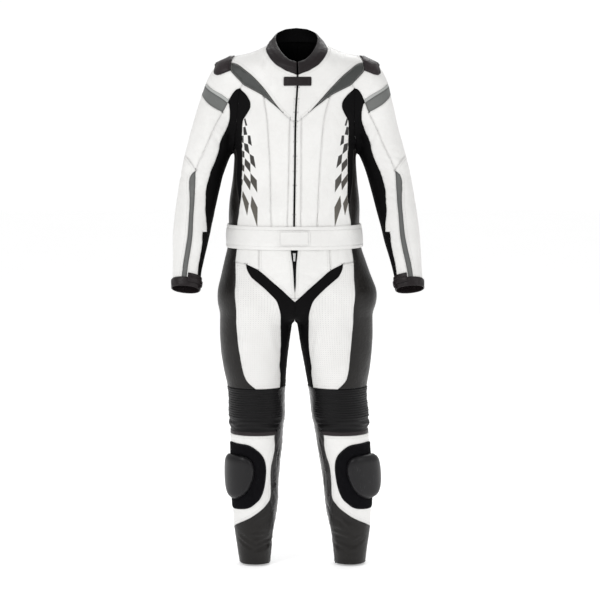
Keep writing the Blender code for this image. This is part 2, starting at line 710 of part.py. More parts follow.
class Cutting:
    """The seams drawn on one chart, and the panels that they cut from it."""

    def __init__(self, chart, spacing):
        self.chart = chart
        self.spacing = spacing
        self.points = []
        self.edges = []
        self.hard = []
        self.fixed = {}
        self.anchors = []
        self.bare = []
        self.middle = set()

    def draw(self, line, hard=True, places=None, closed=False, anchor=False, middle=False):
        """Adds a line of the chart, and where it lies if that is known."""
        start = len(self.points)
        if middle:
            self.middle.update(range(len(self.edges), len(self.edges) + len(line) - 1))
        self.points.extend(map(tuple, line))
        count = len(line)
        if places is not None:
            self.fixed.update({start + index: places[index] for index in range(count)})
        if anchor:
            self.anchors.extend(range(start, start + count))
        for index in range(count if closed else count - 1):
            self.edges.append((start + index, start + (index + 1) % count))
            self.hard.append(hard)

    def snapped(self, point):
        """The boundary point this close to a seam's end, or None."""
        for index in self.anchors:
            if np.hypot(*(np.array(self.points[index]) - point)) < SNAP:
                return np.array(self.points[index])
        return None

    def seam(self, rows, closed=False):
        """Draws a seam through its points, a little past an end that lies on no boundary point."""
        line = through(spots(self.chart, rows), SEAM_STEP, closed)
        if not closed:
            for end, inner in ((0, 1), (-1, -2)):
                point = self.snapped(line[end])
                if point is None:
                    away = line[end] - line[inner]
                    line[end] += away / np.linalg.norm(away) * OVERRUN
                else:
                    line[end] = point
        self.draw(line, closed=closed)
        return line

    def fill(self):
        """Adds points between the seams, clear of them."""
        lines = np.array(self.points)
        low, high = lines.min(0), lines.max(0)
        row_step = self.spacing * math.sqrt(3) / 2
        for row, height in enumerate(np.arange(low[1], high[1], row_step)):
            shift = self.spacing / 2 * (row % 2)
            for across in np.arange(low[0] + shift, high[0], self.spacing):
                point = np.array([across, height])
                if any(test(point) for test in self.bare):
                    continue
                if np.hypot(*(lines - point).T).min() > 0.62 * self.spacing:
                    self.points.append(tuple(point))

    def cut(self, labels):
        """The panels' triangles by name, and every point's place and direction out."""
        corners = [Vector(point) for point in self.points]
        flat, edges, faces, from_points, from_edges, _ = delaunay_2d_cdt(
            corners, self.edges, [], 0, 0.05
        )
        flat = np.array([tuple(point) for point in flat])
        walls = {
            tuple(sorted(edge))
            for edge, sources in zip(edges, from_edges)
            if any(self.hard[source] for source in sources)
        }
        owner = regions(faces, walls)
        panels = {}
        for name, (view, point) in labels.items():
            label = spots(self.chart, [(view, (point,))])[0]
            region = owner[face_under(flat, faces, label)]
            panels[name] = [face for face, number in zip(faces, owner) if number == region]
        used = sorted({corner for faces_of in panels.values() for face in faces_of for corner in face})
        places = np.zeros((len(flat), 3))
        places[used] = self.chart.place(flat[used])
        for index in used:
            for source in from_points[index]:
                if source in self.fixed:
                    places[index] = self.fixed[source]
        for edge, sources in zip(edges, from_edges):
            if self.middle.intersection(sources):
                places[list(edge), 0] = 0
        outward = np.zeros_like(places)
        outward[used] = form_normal(places[used])
        return panels, places, outward, flat


def regions(faces, walls):
    """A number for each triangle, the same for those that no wall parts."""
    beside = {}
    for number, face in enumerate(faces):
        for first, second in zip(face, face[1:] + face[:1]):
            beside.setdefault(tuple(sorted((first, second))), []).append(number)
    owner = [-1] * len(faces)
    for start in range(len(faces)):
        if owner[start] >= 0:
            continue
        owner[start] = start
        waiting = [start]
        while waiting:
            face = faces[waiting.pop()]
            for first, second in zip(face, face[1:] + face[:1]):
                edge = tuple(sorted((first, second)))
                if edge in walls:
                    continue
                for number in beside[edge]:
                    if owner[number] < 0:
                        owner[number] = start
                        waiting.append(number)
    return owner


def face_under(flat, faces, point):
    """The triangle of the chart that holds a point."""
    corners = flat[np.array(faces)]
    turns = []
    for first in range(3):
        side = corners[:, (first + 1) % 3] - corners[:, first]
        to = point - corners[:, first]
        turns.append(side[:, 0] * to[:, 1] - side[:, 1] * to[:, 0])
    inside = np.min(turns, axis=0) * np.sign(np.sum(turns, axis=0))
    return int(np.argmax(inside))


def trunk_cutting(armhole):
    """Half the jacket's body, with its armhole."""
    chart = Trunk()
    cutting = Cutting(chart, TRUNK_SPACING)
    turns = NECK_TURNS
    heights = np.interp(turns, *np.array(NECKLINE, float).T) * MM
    directions = np.column_stack(
        [np.sin(np.radians(turns)), -np.cos(np.radians(turns)), np.zeros(len(turns))]
    )
    origins = np.column_stack([np.zeros((len(turns), 2)), heights])
    neck = chart.chart(cast(origins, directions))
    half_turn = math.pi * chart.radius / MM
    neck[0, 0], neck[-1, 0] = 0, half_turn
    cutting.draw(neck)
    hem = JACKET_HEM / MM
    for across, top in ((0, neck[0, 1]), (half_turn, neck[-1, 1])):
        heights = np.linspace(top, hem, math.ceil((top - hem) / SEAM_STEP) + 1)
        cutting.draw(np.column_stack([np.full(len(heights), across), heights]), middle=True)
    around = np.linspace(0, half_turn, math.ceil(half_turn / SEAM_STEP) + 1)
    cutting.draw(np.column_stack([around, np.full(len(around), hem)]))
    cutting.draw(np.column_stack([around, np.full(len(around), BELT_TOP / MM)]), hard=False)
    cutting.draw(chart.chart(armhole), places=armhole, closed=True, anchor=True)
    for rows in TRUNK_SEAMS.values():
        cutting.seam(rows)
    cutting.fill()
    return cutting


def sleeve_cutting(armhole):
    """One sleeve, from its armhole to the cuff, slit along its inner back."""
    chart = Sleeve(SLEEVE_CUT)
    cutting = Cutting(chart, SLEEVE_SPACING)
    line = chart.chart(armhole)
    full_turn = 2 * math.pi * chart.radius / MM
    line[:, 0] = np.unwrap(line[:, 0], period=full_turn)
    line[:, 0] -= full_turn * round((line[0, 0] - math.radians(SLEEVE_CUT) * chart.radius / MM) / full_turn)
    line = np.vstack([line, line[0] + [full_turn, 0]])
    cutting.draw(line, places=np.vstack([armhole, armhole[:1]]), anchor=True)
    start = line[0]
    along = np.linspace(start[1], CUFF_START, math.ceil((CUFF_START - start[1]) / SEAM_STEP) + 1)
    slit = np.column_stack([np.full(len(along), start[0]), along])
    places = np.vstack([armhole[:1], chart.place(slit[1:])])
    cutting.draw(slit, places=places)
    cutting.draw(slit + [full_turn, 0], places=places)
    around = np.linspace(start[0], start[0] + full_turn, math.ceil(full_turn / SEAM_STEP) + 1)
    cutting.draw(np.column_stack([around, np.full(len(around), CUFF_START)]))
    for rows in SLEEVE_SEAMS.values():
        cutting.seam(rows)
    cutting.fill()
    return cutting


def rise_curve():
    """The form's line at the middle, from the front waist under the crotch to the back waist."""
    levels = np.linspace(TROUSER_TOP, CROTCH_FAN_HEIGHT, 9)
    angles = np.radians(np.arange(15, 166, 15))
    heights = np.concatenate([levels, np.full(len(angles), CROTCH_FAN_HEIGHT), levels[::-1]])
    turns = np.concatenate([np.zeros(len(levels)), angles, np.full(len(levels), math.pi)])
    origins = np.column_stack([np.zeros((len(turns), 2)), heights])
    directions = np.column_stack([np.zeros(len(turns)), -np.cos(turns), -np.sin(turns)])
    points = cast(origins, directions)
    points[:, 0] = 0
    return points


def leg_cutting():
    """Half the trousers, slit down the inner leg and along the middle of the seat."""
    chart = Leg()
    cutting = Cutting(chart, LEG_SPACING)
    rise = rise_curve()
    crotch = len(rise) // 2
    half_turn = math.pi * chart.radius / MM
    line = chart.chart(rise)
    line[: crotch + 1, 0] = np.abs(line[: crotch + 1, 0])
    line[crotch, 0] = half_turn
    behind = line[crotch:].copy()
    behind[:, 0] = -np.abs(behind[:, 0])
    cutting.draw(line[: crotch + 1], places=rise[: crotch + 1], middle=True)
    cutting.draw(behind, places=rise[crotch:], middle=True)
    low, hem = line[crotch, 1], LEG_HEM / MM
    heights = np.linspace(low, hem, math.ceil((low - hem) / SEAM_STEP) + 1)
    inner = np.column_stack([np.full(len(heights), half_turn), heights])
    places = np.vstack([rise[crotch], chart.place(inner[1:])])
    cutting.draw(inner, places=places)
    cutting.draw(inner * [-1, 1], places=places)
    for level, start, end in ((hem, -half_turn, half_turn), (TROUSER_TOP / MM, behind[-1, 0], line[0, 0])):
        around = np.linspace(start, end, math.ceil((end - start) / SEAM_STEP) + 1)
        cutting.draw(np.column_stack([around, np.full(len(around), level)]))
    cutting.draw(np.column_stack([around, np.full(len(around), BELT_BOTTOM / MM)]), hard=False)
    drawn = {name: cutting.seam(rows, name in CLOSED_SEAMS) for name, rows in LEG_SEAMS.items()}
    for share in SLIDER_RINGS:
        outline = drawn["slider"][::2]
        middle = outline.mean(0)
        cutting.draw(middle + (outline - middle) * share, hard=False, closed=True)
    draw_ribs(cutting, drawn["back"], drawn["shin_inner"])
    middle = drawn["slider"].mean(0)
    reach = np.hypot(*(drawn["slider"] - middle).T).min()
    cutting.bare.append(lambda point: np.hypot(*(point - middle)) < reach)
    ribs_end = KNEE_TOP / MM - RIB_PITCH / MM * (RIB_COUNT + 1)
    cutting.bare.append(lambda point: ribs_end < point[1] < KNEE_TOP / MM)
    cutting.fill()
    return cutting


def draw_ribs(cutting, back, inner):
    """Lines along the top and foot of each rib of the stretch panel, from seam to seam."""
    for row in range(1, 2 * RIB_COUNT + 1):
        height = (KNEE_TOP - row * RIB_PITCH / 2) / MM
        start = np.interp(height, back[::-1, 1], back[::-1, 0])
        end = np.interp(height, inner[::-1, 1], inner[::-1, 0])
        count = math.ceil((end - start) / RIB_STEP)
        around = np.linspace(start, end, count + 1)
        cutting.draw(np.column_stack([around, np.full(count + 1, height)]), hard=False)


def rib_height(chart):
    """How far the stretch panel's outer points stand out, over its plain inside."""
    down = (KNEE_TOP / MM - chart[:, 1]) * MM / RIB_PITCH
    wave = 0.5 - 0.5 * np.cos(2 * math.pi * down)
    return np.where((down > 0.1) & (down < RIB_COUNT - 0.1), RIB_HEIGHT * wave, 0)


def armhole_curve():
    """The seam between body and sleeve, once round from its lowest point behind."""
    spots_found = []
    for view, points in ARMHOLE:
        points = np.array(points, float) * MM
        if view is View.NEAR:
            spots_found.append(settle(points))
            continue
        side = -1 if view is View.FRONT else 1
        origins = np.column_stack([points[:, 0], np.full(len(points), 0.3 * side), points[:, 1]])
        directions = np.tile([0.0, -1.0 * side, 0.0], (len(points), 1))
        spots_found.append(cast(origins, directions, inside=False))
    return settle(through(np.concatenate(spots_found), SEAM_STEP * MM, closed=True))


def boundary(faces):
    """The panel's edge as directed pairs of points, with the panel on their left."""
    pairs = {(face[i], face[(i + 1) % 3]) for face in faces for i in range(3)}
    return [pair for pair in pairs if pair[::-1] not in pairs]


def outward_faces(faces, places, outward):
    """The triangles turned to face out of the cloth."""
    total = 0
    for a, b, c in faces:
        across = np.cross(places[b] - places[a], places[c] - places[a])
        total += across @ outward[a]
    return [tuple(face) if total > 0 else tuple(face[::-1]) for face in faces]


def inset(places, outward, edges, gap_of):
    """Each edge point's move into its panel, so that every seam stays open by its own gap."""
    inwards = {}
    for first, second in edges:
        along = places[second] - places[first]
        normal = outward[first] + outward[second]
        side = np.cross(normal, along)
        side /= max(np.linalg.norm(side), 1e-12)
        gap = gap_of(places[first], places[second])
        inwards.setdefault(first, []).append((side, gap))
        inwards.setdefault(second, []).append((side, gap))
    moves = {}
    for point, sides in inwards.items():
        (one, gap_one), (two, gap_two) = sides[0], sides[-1]
        level = float(np.clip(one @ two, -1, 1))
        if abs(level) > 0.985:
            moves[point] = one * max(gap_one, gap_two)
            continue
        turned = two - one * level
        turned /= np.linalg.norm(turned)
        across = (gap_two - gap_one * level) / math.sqrt(1 - level * level)
        move = one * gap_one + turned * across
        limit = 5 * max(gap_one, gap_two)
        length = np.linalg.norm(move)
        moves[point] = move * min(1.0, limit / length)
    return moves


class Side(Enum):
    """The wearer's side, and the sign of its across direction."""

    LEFT = 1
    RIGHT = -1


def add_object(name, points, faces, finish):
    """A mesh object with its material, smooth where the cloth is smooth."""
    mesh = bpy.data.meshes.new(name)
    mesh.from_pydata([tuple(point) for point in points], [], faces)
    mesh.materials.append(finish_material(finish))
    mesh.shade_smooth()
    mesh.set_sharp_from_angle(angle=math.radians(SHARP_ANGLE))
    piece = bpy.data.objects.new(name, mesh)
    bpy.context.scene.collection.objects.link(piece)
    return piece


def finish_material(finish):
    """The Principled material of this finish, made once."""
    found = bpy.data.materials.get(finish)
    if found:
        return found
    colour, roughness, metallic = FINISHES[finish]
    material = bpy.data.materials.new(finish)
    material.use_nodes = True
    shader = material.node_tree.nodes["Principled BSDF"]
    shader.inputs["Base Color"].default_value = (*colour, 1)
    shader.inputs["Roughness"].default_value = roughness
    shader.inputs["Metallic"].default_value = metallic
    return material


def wall(name, side, faces, outer, inner, finish):
    """A closed wall between matching outer and inner points of the left half, set on its side."""
    used = sorted({corner for face in faces for corner in face})
    number = {corner: index for index, corner in enumerate(used)}
    count = len(used)
    points = np.vstack([outer[used], inner[used]]) * [side.value, 1, 1]
    solid = [tuple(number[corner] for corner in face) for face in faces]
    solid += [tuple(number[corner] + count for corner in face[::-1]) for face in faces]
    for first, second in boundary(faces):
        a, b = number[first], number[second]
        if first < second:
            solid += [(b, a, b + count), (a, a + count, b + count)]
        else:
            solid += [(b, a, a + count), (b, a + count, b + count)]
    if side is Side.RIGHT:
        solid = [face[::-1] for face in solid]
    return add_object(f"{name}_{side.name.lower()}", posed(points), solid, finish)


def seam_gap(first, second):
    """Half the space at a seam, wider where the jacket's zip runs."""
    at_front = max(abs(first[0]), abs(second[0])) < 0.01 * MM and first[1] < 0
    if at_front and min(first[2], second[2]) > BELT_BOTTOM:
        return ZIP_HALF_GAP
    return SEAM_HALF_GAP


def dome(distance, rim, height):
    """A rounded rise from a low rim to its full height, this far in from the edge."""
    part = np.clip(distance / rim, 0, 1)
    return height * np.sqrt(1 - (1 - part) ** 2)


def add_panels(cutting, labels, finishes):
    """Every panel of a chart on both sides, and what lies on it as its own wall moved out."""
    panels, places, outward, flat = cutting.cut(labels)
    for name, over in OVERLAYS.items():
        if name in panels and over in panels:
            panels[over] = panels[over] + panels[name]
    for name, faces in panels.items():
        faces = outward_faces(faces, places, outward)
        edges = boundary(faces)
        outer = places.copy()
        for point, move in inset(places, outward, edges, seam_gap).items():
            outer[point] += move
        low, thickness = RELIEFS.get(name, (-WALL, WALL))
        inner = outer + outward * low
        outer = inner + outward * thickness
        if name == "accordion":
            outer += outward * rib_height(flat)[:, None]
        if name in DOMES:
            rim, height = DOMES[name]
            ends = places[sorted({corner for edge in edges for corner in edge})]
            used = sorted({corner for face in faces for corner in face})
            for point in used:
                away = np.linalg.norm(ends - places[point], axis=1).min()
                outer[point] += outward[point] * dome(away, rim, height)
        for side in Side:
            wall(name, side, faces, outer, inner, finishes[name])


def grid_solid(name, outer, inner, finish, ring=False):
    """A closed wall between two grids of points (rows, then columns), or a ring of it."""
    rows, columns = outer.shape[:2]
    points = np.concatenate([outer.reshape(-1, 3), inner.reshape(-1, 3)])
    count = rows * columns
    spans = columns if ring else columns - 1
    faces = []
    for row in range(rows - 1):
        for column in range(spans):
            beside = (column + 1) % columns
            a, b = row * columns + column, row * columns + beside
            c, d = a + columns, b + columns
            faces.append((a, b, d, c))
            faces.append((a + count, c + count, d + count, b + count))
    for column in range(spans):
        beside = (column + 1) % columns
        faces.append((beside, column, column + count, beside + count))
        last = (rows - 1) * columns
        faces.append((last + column, last + beside, last + beside + count, last + column + count))
    if not ring:
        for row in range(rows - 1):
            a, c = row * columns, (row + 1) * columns
            faces.append((a, c, c + count, a + count))
            b, d = a + columns - 1, c + columns - 1
            faces.append((d, b, b + count, d + count))
    return add_object(name, posed(points), faces, finish)


def trunk_ring(heights, turns):
    """Points and directions out of the trunk, a row for each height."""
    grid = np.array([[(turn, height) for turn in turns] for height in heights])
    turn, height = grid[..., 0].ravel(), grid[..., 1].ravel()
    directions = np.column_stack([np.sin(turn), -np.cos(turn), np.zeros(len(turn))])
    origins = np.column_stack([np.zeros((len(turn), 2)), height])
    points = cast(origins, directions)
    shape = (len(heights), len(turns), 3)
    return points.reshape(shape), form_normal(points).reshape(shape)


def add_belt():
    """The jacket's padded waistband, all round, over both hems."""
    columns = 48
    turns = np.arange(columns) * 2 * math.pi / columns
    parts = np.linspace(0, 1, 4)
    points, out = trunk_ring(BELT_BOTTOM + parts * (BELT_TOP - BELT_BOTTOM), turns)
    swell = BELT_LIFT + BELT_SWELL * np.sin(math.pi * parts)[:, None, None]
    inner = points + out * BELT_LIFT
    grid_solid("belt", points + out * (swell + WALL), inner, "white_leather", ring=True)


def add_front_patch(name, rows, width, lift, thickness, finish):
    """A patch across the middle of the front, bent to the form, a row of points for each height."""
    across = np.linspace(-width / 2, width / 2, PATCH_COLUMNS)
    origins = np.array([(x, -0.3, z) for z in rows for x in across])
    points = cast(origins, np.tile([0.0, 1.0, 0.0], (len(origins), 1)), inside=False)
    out = form_normal(points)
    shape = (len(rows), PATCH_COLUMNS, 3)
    inner = (points + out * lift).reshape(shape)
    outer = (points + out * (lift + thickness)).reshape(shape)
    grid_solid(name, outer, inner, finish)


def collar_point(turn, part):
    """A point of the collar's outside: turn in degrees from the front, part from seam to rim."""
    base_height = np.interp(turn, *np.array(NECKLINE, float).T) * MM
    angle = math.radians(turn)
    direction = np.array([[math.sin(angle), -math.cos(angle), 0]])
    base = cast(np.array([[0, 0, base_height]]), direction)[0]
    rim_height = np.interp(turn, *np.array(COLLAR_RIM, float).T) * MM
    depth = COLLAR_RIM_FRONT if turn < 90 else COLLAR_RIM_BACK
    rim = np.array([math.sin(angle) * COLLAR_RIM_SIDE, -math.cos(angle) * depth, rim_height])
    point = base * (1 - part) + rim * part
    return point + direction[0] * COLLAR_ROLL * math.sin(math.pi * part)


def add_collar():
    """The standing collar, open at the front where the zip runs."""
    turns = np.concatenate([[COLLAR_FRONT_TURN], NECK_TURNS[1:]])
    parts = np.linspace(0, 1, 4)
    half = np.array([[collar_point(turn, part) for turn in turns] for part in parts])
    half[0, :, 2] += COLLAR_SEAM
    whole = np.concatenate([half, half[:, -2::-1] * [-1, 1, 1]], axis=1)
    along = np.gradient(whole, axis=1)
    up = np.gradient(whole, axis=0)
    out = np.cross(along, up)
    out /= np.linalg.norm(out, axis=2)[..., None]
    grid_solid("collar", whole, whole - out * COLLAR_WALL, "black_leather")


def front_surface(height):
    """The posed point of the front's middle at this height."""
    return posed(cast(np.array([[0, -0.4, height]]), np.array([[0.0, 1.0, 0.0]]), inside=False))[0]


def add_box(name, centre, size, bevel, finish):
    """A small block with rounded edges."""
    mesh = bmesh.new()
    bmesh.ops.create_cube(mesh, size=1)
    bmesh.ops.scale(mesh, vec=Vector(size), verts=mesh.verts)
    bmesh.ops.bevel(
        mesh, geom=mesh.edges[:], offset=bevel, segments=2, profile=0.5, affect="EDGES", material=-1
    )
    data = bpy.data.meshes.new(name)
    mesh.to_mesh(data)
    mesh.free()
    data.materials.append(finish_material(finish))
    piece = bpy.data.objects.new(name, data)
    piece.location = Vector(centre)
    bpy.context.scene.collection.objects.link(piece)
    return piece


def add_fly_slider():
    """The fly zip's slider, and its pull hanging from it on its own axis."""
    face = front_surface(SLIDER_HEIGHT)
    back = face[1] - FLY_TAPE[1] - FLY_TAPE[2] - SLIDER_CLEARANCE
    depth = SLIDER_SIZE[1]
    add_box("fly_slider", (face[0], back - depth / 2, SLIDER_HEIGHT), SLIDER_SIZE, 0.6 * MM, "zip_metal")
    axis_depth = back - depth - PULL_CLEARANCE
    pull = add_box(
        "fly_pull",
        (face[0], axis_depth, SLIDER_HEIGHT + PULL_AXIS_ABOVE),
        PULL_SIZE,
        0.25 * MM,
        "zip_metal",
    )
    drop = PULL_SIZE[2] / 2 - PULL_TOP_PAST_AXIS
    for vertex in pull.data.vertices:
        vertex.co.z -= drop


def add_cuffs():
    """The ring at the end of each sleeve, standing a little proud, with its strap above it."""
    chart = Sleeve(SLEEVE_CUT)
    strap = np.array(CUFF_STRAP, float)
    around = np.radians(strap[:, 0]) * chart.radius / MM
    grid = []
    for part in np.linspace(0, 1, 4):
        top = CUFF_START - CUFF_LAP - strap[:, 1] * smooth_step(0.3, 1, part)
        level = CUFF_START + CUFF_LENGTH + (top - CUFF_START - CUFF_LENGTH) * part
        grid.append(np.column_stack([around, level]))
    points = chart.place(np.concatenate(grid))
    out = form_normal(points)
    shape = (len(grid), len(strap), 3)
    inner = (points + out * CUFF_LIFT).reshape(shape)
    outer = (points + out * (CUFF_LIFT + CUFF_WALL)).reshape(shape)
    for side in Side:
        turned = outer * [side.value, 1, 1], inner * [side.value, 1, 1]
        order = slice(None, None, -1) if side is Side.RIGHT else slice(None)
        name = f"cuff_{side.name.lower()}"
        grid_solid(name, turned[0][:, order], turned[1][:, order], "black_leather", ring=True)


def clear_scene():
    """Removes every object of the scene."""
    for piece in list(bpy.data.objects):
        bpy.data.objects.remove(piece, do_unlink=True)


def main():
    """Builds the suit."""
    clear_scene()
    armhole = armhole_curve()
    add_panels(trunk_cutting(armhole), TRUNK_PANELS, PANEL_FINISHES)
    add_panels(sleeve_cutting(armhole), SLEEVE_PANELS, PANEL_FINISHES)
    add_panels(leg_cutting(), LEG_PANELS, PANEL_FINISHES)
    add_belt()
    add_front_patch("throat_tab", np.linspace(-70, -47, 4) * MM, *THROAT_TAB, "black_leather")
    add_front_patch("belt_tab", np.linspace(-492, -452, 4) * MM, *BELT_TAB, "white_leather")
    add_collar()
    add_cuffs()
    line = Trunk().place(np.column_stack([np.zeros(len(ZIP_RISES)), ZIP_RISES]))
    add_front_patch("jacket_zip", line[::-1, 2], *JACKET_TAPE, "zip_tape")
    add_front_patch("fly_zip", np.linspace(-628, -480, 10) * MM, *FLY_TAPE, "zip_tape")
    add_fly_slider()


main()
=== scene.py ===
"""Looks of a two-piece motorcycle race suit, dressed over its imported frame.

Metres, +Z up. The suit faces -Y and the wearer's left is +X. Every panel of leather or stretch
cloth is cut again from the suit's own smooth form, in fine faces, with creases, rolled edges and
stitching, and stands for the plain solid of the same name. The belt, collar, cuffs, tabs and zips
are shaped over the same form. Lengths in tables are in millimetres, turns in degrees.
"""

import logging
import math
import sys
from dataclasses import dataclass, field
from enum import Enum
from typing import Callable, Iterable, Sequence

import bmesh
import bpy
import numpy as np
from mathutils import Matrix, Vector
from mathutils.geometry import delaunay_2d_cdt
from mathutils.kdtree import KDTree


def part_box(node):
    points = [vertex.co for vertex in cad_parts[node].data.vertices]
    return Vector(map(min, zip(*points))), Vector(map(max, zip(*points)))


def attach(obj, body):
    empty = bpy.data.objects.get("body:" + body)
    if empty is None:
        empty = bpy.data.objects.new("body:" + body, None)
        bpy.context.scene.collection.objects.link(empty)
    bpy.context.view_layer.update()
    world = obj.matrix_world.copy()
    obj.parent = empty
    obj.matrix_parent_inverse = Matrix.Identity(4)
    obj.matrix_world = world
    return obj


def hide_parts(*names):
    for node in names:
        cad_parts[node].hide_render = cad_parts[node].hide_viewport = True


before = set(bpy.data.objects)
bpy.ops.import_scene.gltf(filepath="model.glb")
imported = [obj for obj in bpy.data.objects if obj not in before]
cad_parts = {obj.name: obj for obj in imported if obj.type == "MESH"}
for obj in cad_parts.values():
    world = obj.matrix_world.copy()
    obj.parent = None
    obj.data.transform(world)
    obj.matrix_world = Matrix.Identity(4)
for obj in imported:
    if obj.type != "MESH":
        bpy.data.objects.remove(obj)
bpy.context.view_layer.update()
LOG = logging.getLogger("race_suit")
Array = np.ndarray
MM = 0.001
SUIT = "suit"
PULL = "pull"

# Heights and places that several pieces share, as in the part, and the cloth's steps.
BELT_BOTTOM = -503
JACKET_HEM, TROUSER_TOP = -468, -478
FAN_HEIGHT, CROTCH_FAN_HEIGHT = -130, -620
LEG_HEM = -1367
KNEE_TOP = -878
RIB_PITCH, RIB_COUNT = 6.4, 13
CUFF_START = 684
SLEEVE_CUT = -140
POINT_SPACING = 5.6
SEAM_STEP = 4.6
RIB_STEP = 8.0
RIB_LINES = 6
GATHER_STEP = 2.6
GATHER_END = -992
RIB_CLEAR = 1.5
FAR_FROM_EDGE = 20.0
UP = np.array([0.0, 0.0, 1.0])
CLOSED_SEAMS = ("velcro", "slider")

# height, half width, depth to the front, depth to the back
TRUNK = np.array([
    (-720, 120, 80, 95),
    (-660, 192, 108, 122),
    (-590, 199, 117, 128),
    (-545, 190, 119, 121),
    (-500, 179, 116, 112),
    (-450, 176, 114, 106),
    (-390, 175, 117, 104),
    (-320, 167, 122, 108),
    (-260, 163, 127, 114),
    (-200, 168, 130, 120),
    (-130, 172, 127, 124),
    (-75, 164, 114, 120),
    (-35, 146, 96, 106),
    (0, 118, 84, 92),
    (22, 94, 75, 80),
    (38, 74, 70, 74),
    (62, 60, 66, 70),
], float) * MM
# across, depth, height of the middle line; half width, depth to the front, depth to the back
SLEEVE = np.array([
    (40, 5, -62, 62, 70, 75),
    (110, 5, -57, 66, 72, 76),
    (163, 5, -64, 68, 70, 74),
    (195, 5, -135, 67, 66, 68),
    (219, 8, -205, 62, 63, 64),
    (244, 10, -285, 57, 58, 60),
    (264, -12, -390, 53, 52, 52),
    (277, -42, -480, 48, 46, 46),
    (285, -65, -545, 40, 40, 40),
    (291, -90, -612, 35, 38, 38),
], float) * MM
# height, across, half width, middle depth, depth to the front, depth to the back
LEG = np.array([
    (-1395, 128, 39, 6, 44, 48),
    (-1350, 130, 44, 8, 46, 52),
    (-1285, 131, 52, 8, 50, 60),
    (-1220, 127, 60, 5, 54, 70),
    (-1134, 125, 65, -3, 62, 72),
    (-1048, 118, 69, -10, 70, 70),
    (-1005, 115, 71, -13, 74, 72),
    (-960, 112, 75, -13, 80, 76),
    (-897, 109, 76, -10, 84, 80),
    (-830, 110, 85, -6, 92, 94),
    (-745, 107, 95, -2, 100, 106),
    (-713, 105, 97, 0, 104, 112),
    (-660, 104, 96, 0, 106, 116),
    (-600, 104, 88, 0, 100, 110),
], float) * MM
# height, how far the pose sets everything there towards the wearer's left
LEAN = np.array([
    (-1400, 18),
    (-1280, 16),
    (-1134, 13),
    (-1000, 8),
    (-900, 3),
    (-780, -3),
    (-600, -3),
    (-480, -5),
    (-300, -3),
    (-130, 0),
    (-60, 4),
    (0, 3),
    (80, 1),
], float) * MM
# height, how much further out the left sleeve hangs
SLEEVE_SPREAD = np.array([
    (-700, 16),
    (-600, 15),
    (-450, 11),
    (-330, 5),
    (-230, 0),
    (100, 0),
], float) * MM
# side of the cloth (-1 front, 1 back), across, height, turn of the run from upright,
# half length, half width, depth (positive is a trough): the large folds of the solids
LARGE_FOLDS = (
    (-1, 232, -252, 52, 46, 15, 4.0),
    (-1, 270, -276, 66, 34, 13, -3.5),
    (-1, 262, -330, 30, 40, 14, 3.0),
    (-1, 208, -170, 20, 60, 16, 2.5),
    (-1, 118, -420, 62, 46, 14, 3.0),
    (-1, 60, -400, 78, 44, 14, -2.5),
    (-1, 84, -640, 40, 60, 16, 3.0),
    (-1, 112, -780, 8, 90, 18, 3.0),
    (-1, 66, -720, -12, 70, 14, -2.5),
    (-1, 150, -700, 10, 90, 18, 2.5),
    (-1, 118, -986, 86, 60, 9, 4.0),
    (-1, 104, -1300, 70, 44, 14, 3.0),
    (1, 60, -150, 25, 80, 20, 3.5),
    (1, 96, -320, 12, 90, 20, -3.0),
    (1, 50, -400, 80, 70, 16, 4.0),
    (1, 90, -690, 76, 70, 18, 5.0),
    (1, 104, -760, 82, 60, 16, 4.0),
    (1, 112, -960, 84, 60, 18, 6.0),
    (1, 112, -1010, 80, 54, 16, -4.0),
    (1, 120, -1180, 70, 50, 18, 3.5),
    (1, 248, -300, 74, 40, 15, 4.0),
    (1, 228, -210, 40, 50, 16, -3.0),
)


class View(Enum):
    """Where a table's points are read from."""

    FRONT = "across and height, on the cloth that faces forwards"
    BACK = "across and height, on the cloth that faces backwards"
    NEAR = "across, depth and height close to the cloth"
    ROUND = "turn round the tube, and height or distance along it"


class Side(Enum):
    """The wearer's side, and the sign of its across direction."""

    LEFT = 1
    RIGHT = -1

    @property
    def word(self) -> str:
        """The side's name as the nodes spell it."""
        return self.name.lower()


def read_table(table: Array, at: Array) -> Array:
    """Reads the smooth curve through a table.

    Args:
        table: Rows whose first column is the place along the curve.
        at: Where to read it.

    Returns:
        The other columns' values at each place.
    """
    stations, values = table[:, 0], table[:, 1:]
    slopes = np.gradient(values, stations, axis=0)
    at = np.asarray(at, float)
    index = np.clip(np.searchsorted(stations, at) - 1, 0, len(stations) - 2)
    span = stations[index + 1] - stations[index]
    part = np.clip((at - stations[index]) / span, 0, 1)[..., None]
    span = span[..., None]
    start = (1 + 2 * part) * (1 - part) ** 2 * values[index]
    leave = part * (1 - part) ** 2 * span * slopes[index]
    finish = part * part * (3 - 2 * part) * values[index + 1]
    arrive = part * part * (part - 1) * span * slopes[index + 1]
    return start + leave + finish + arrive


def smooth_min(first: Array, second: Array, reach: float | Array) -> Array:
    """The smaller of two fields, rounded where they are closer than reach."""
    near = np.clip(1 - np.abs(first - second) / reach, 0, None)
    return np.minimum(first, second) - near * near * reach / 4


def smooth_max(first: Array, second: Array, reach: float) -> Array:
    """The larger of two fields, rounded where they are closer than reach."""
    return -smooth_min(-first, -second, reach)


def smooth_step(start: float, end: float, at: Array) -> Array:
    """0 before start and 1 past end, with a soft change between them."""
    part = np.clip((at - start) / (end - start), 0, 1)
    return part * part * (3 - 2 * part)


def oval(across: Array, deep: Array, half_width: Array, depth: Array, square: float) -> Array:
    """About the distance outside an oval of this half width and depth."""
    ratio = (np.abs(across) / half_width) ** square + (np.abs(deep) / depth) ** square
    return (ratio ** (1 / square) - 1) * np.minimum(half_width, depth)


def unit(vectors: Array) -> Array:
    """Each row's direction, one long."""
    return vectors / np.linalg.norm(vectors, axis=1)[:, None]


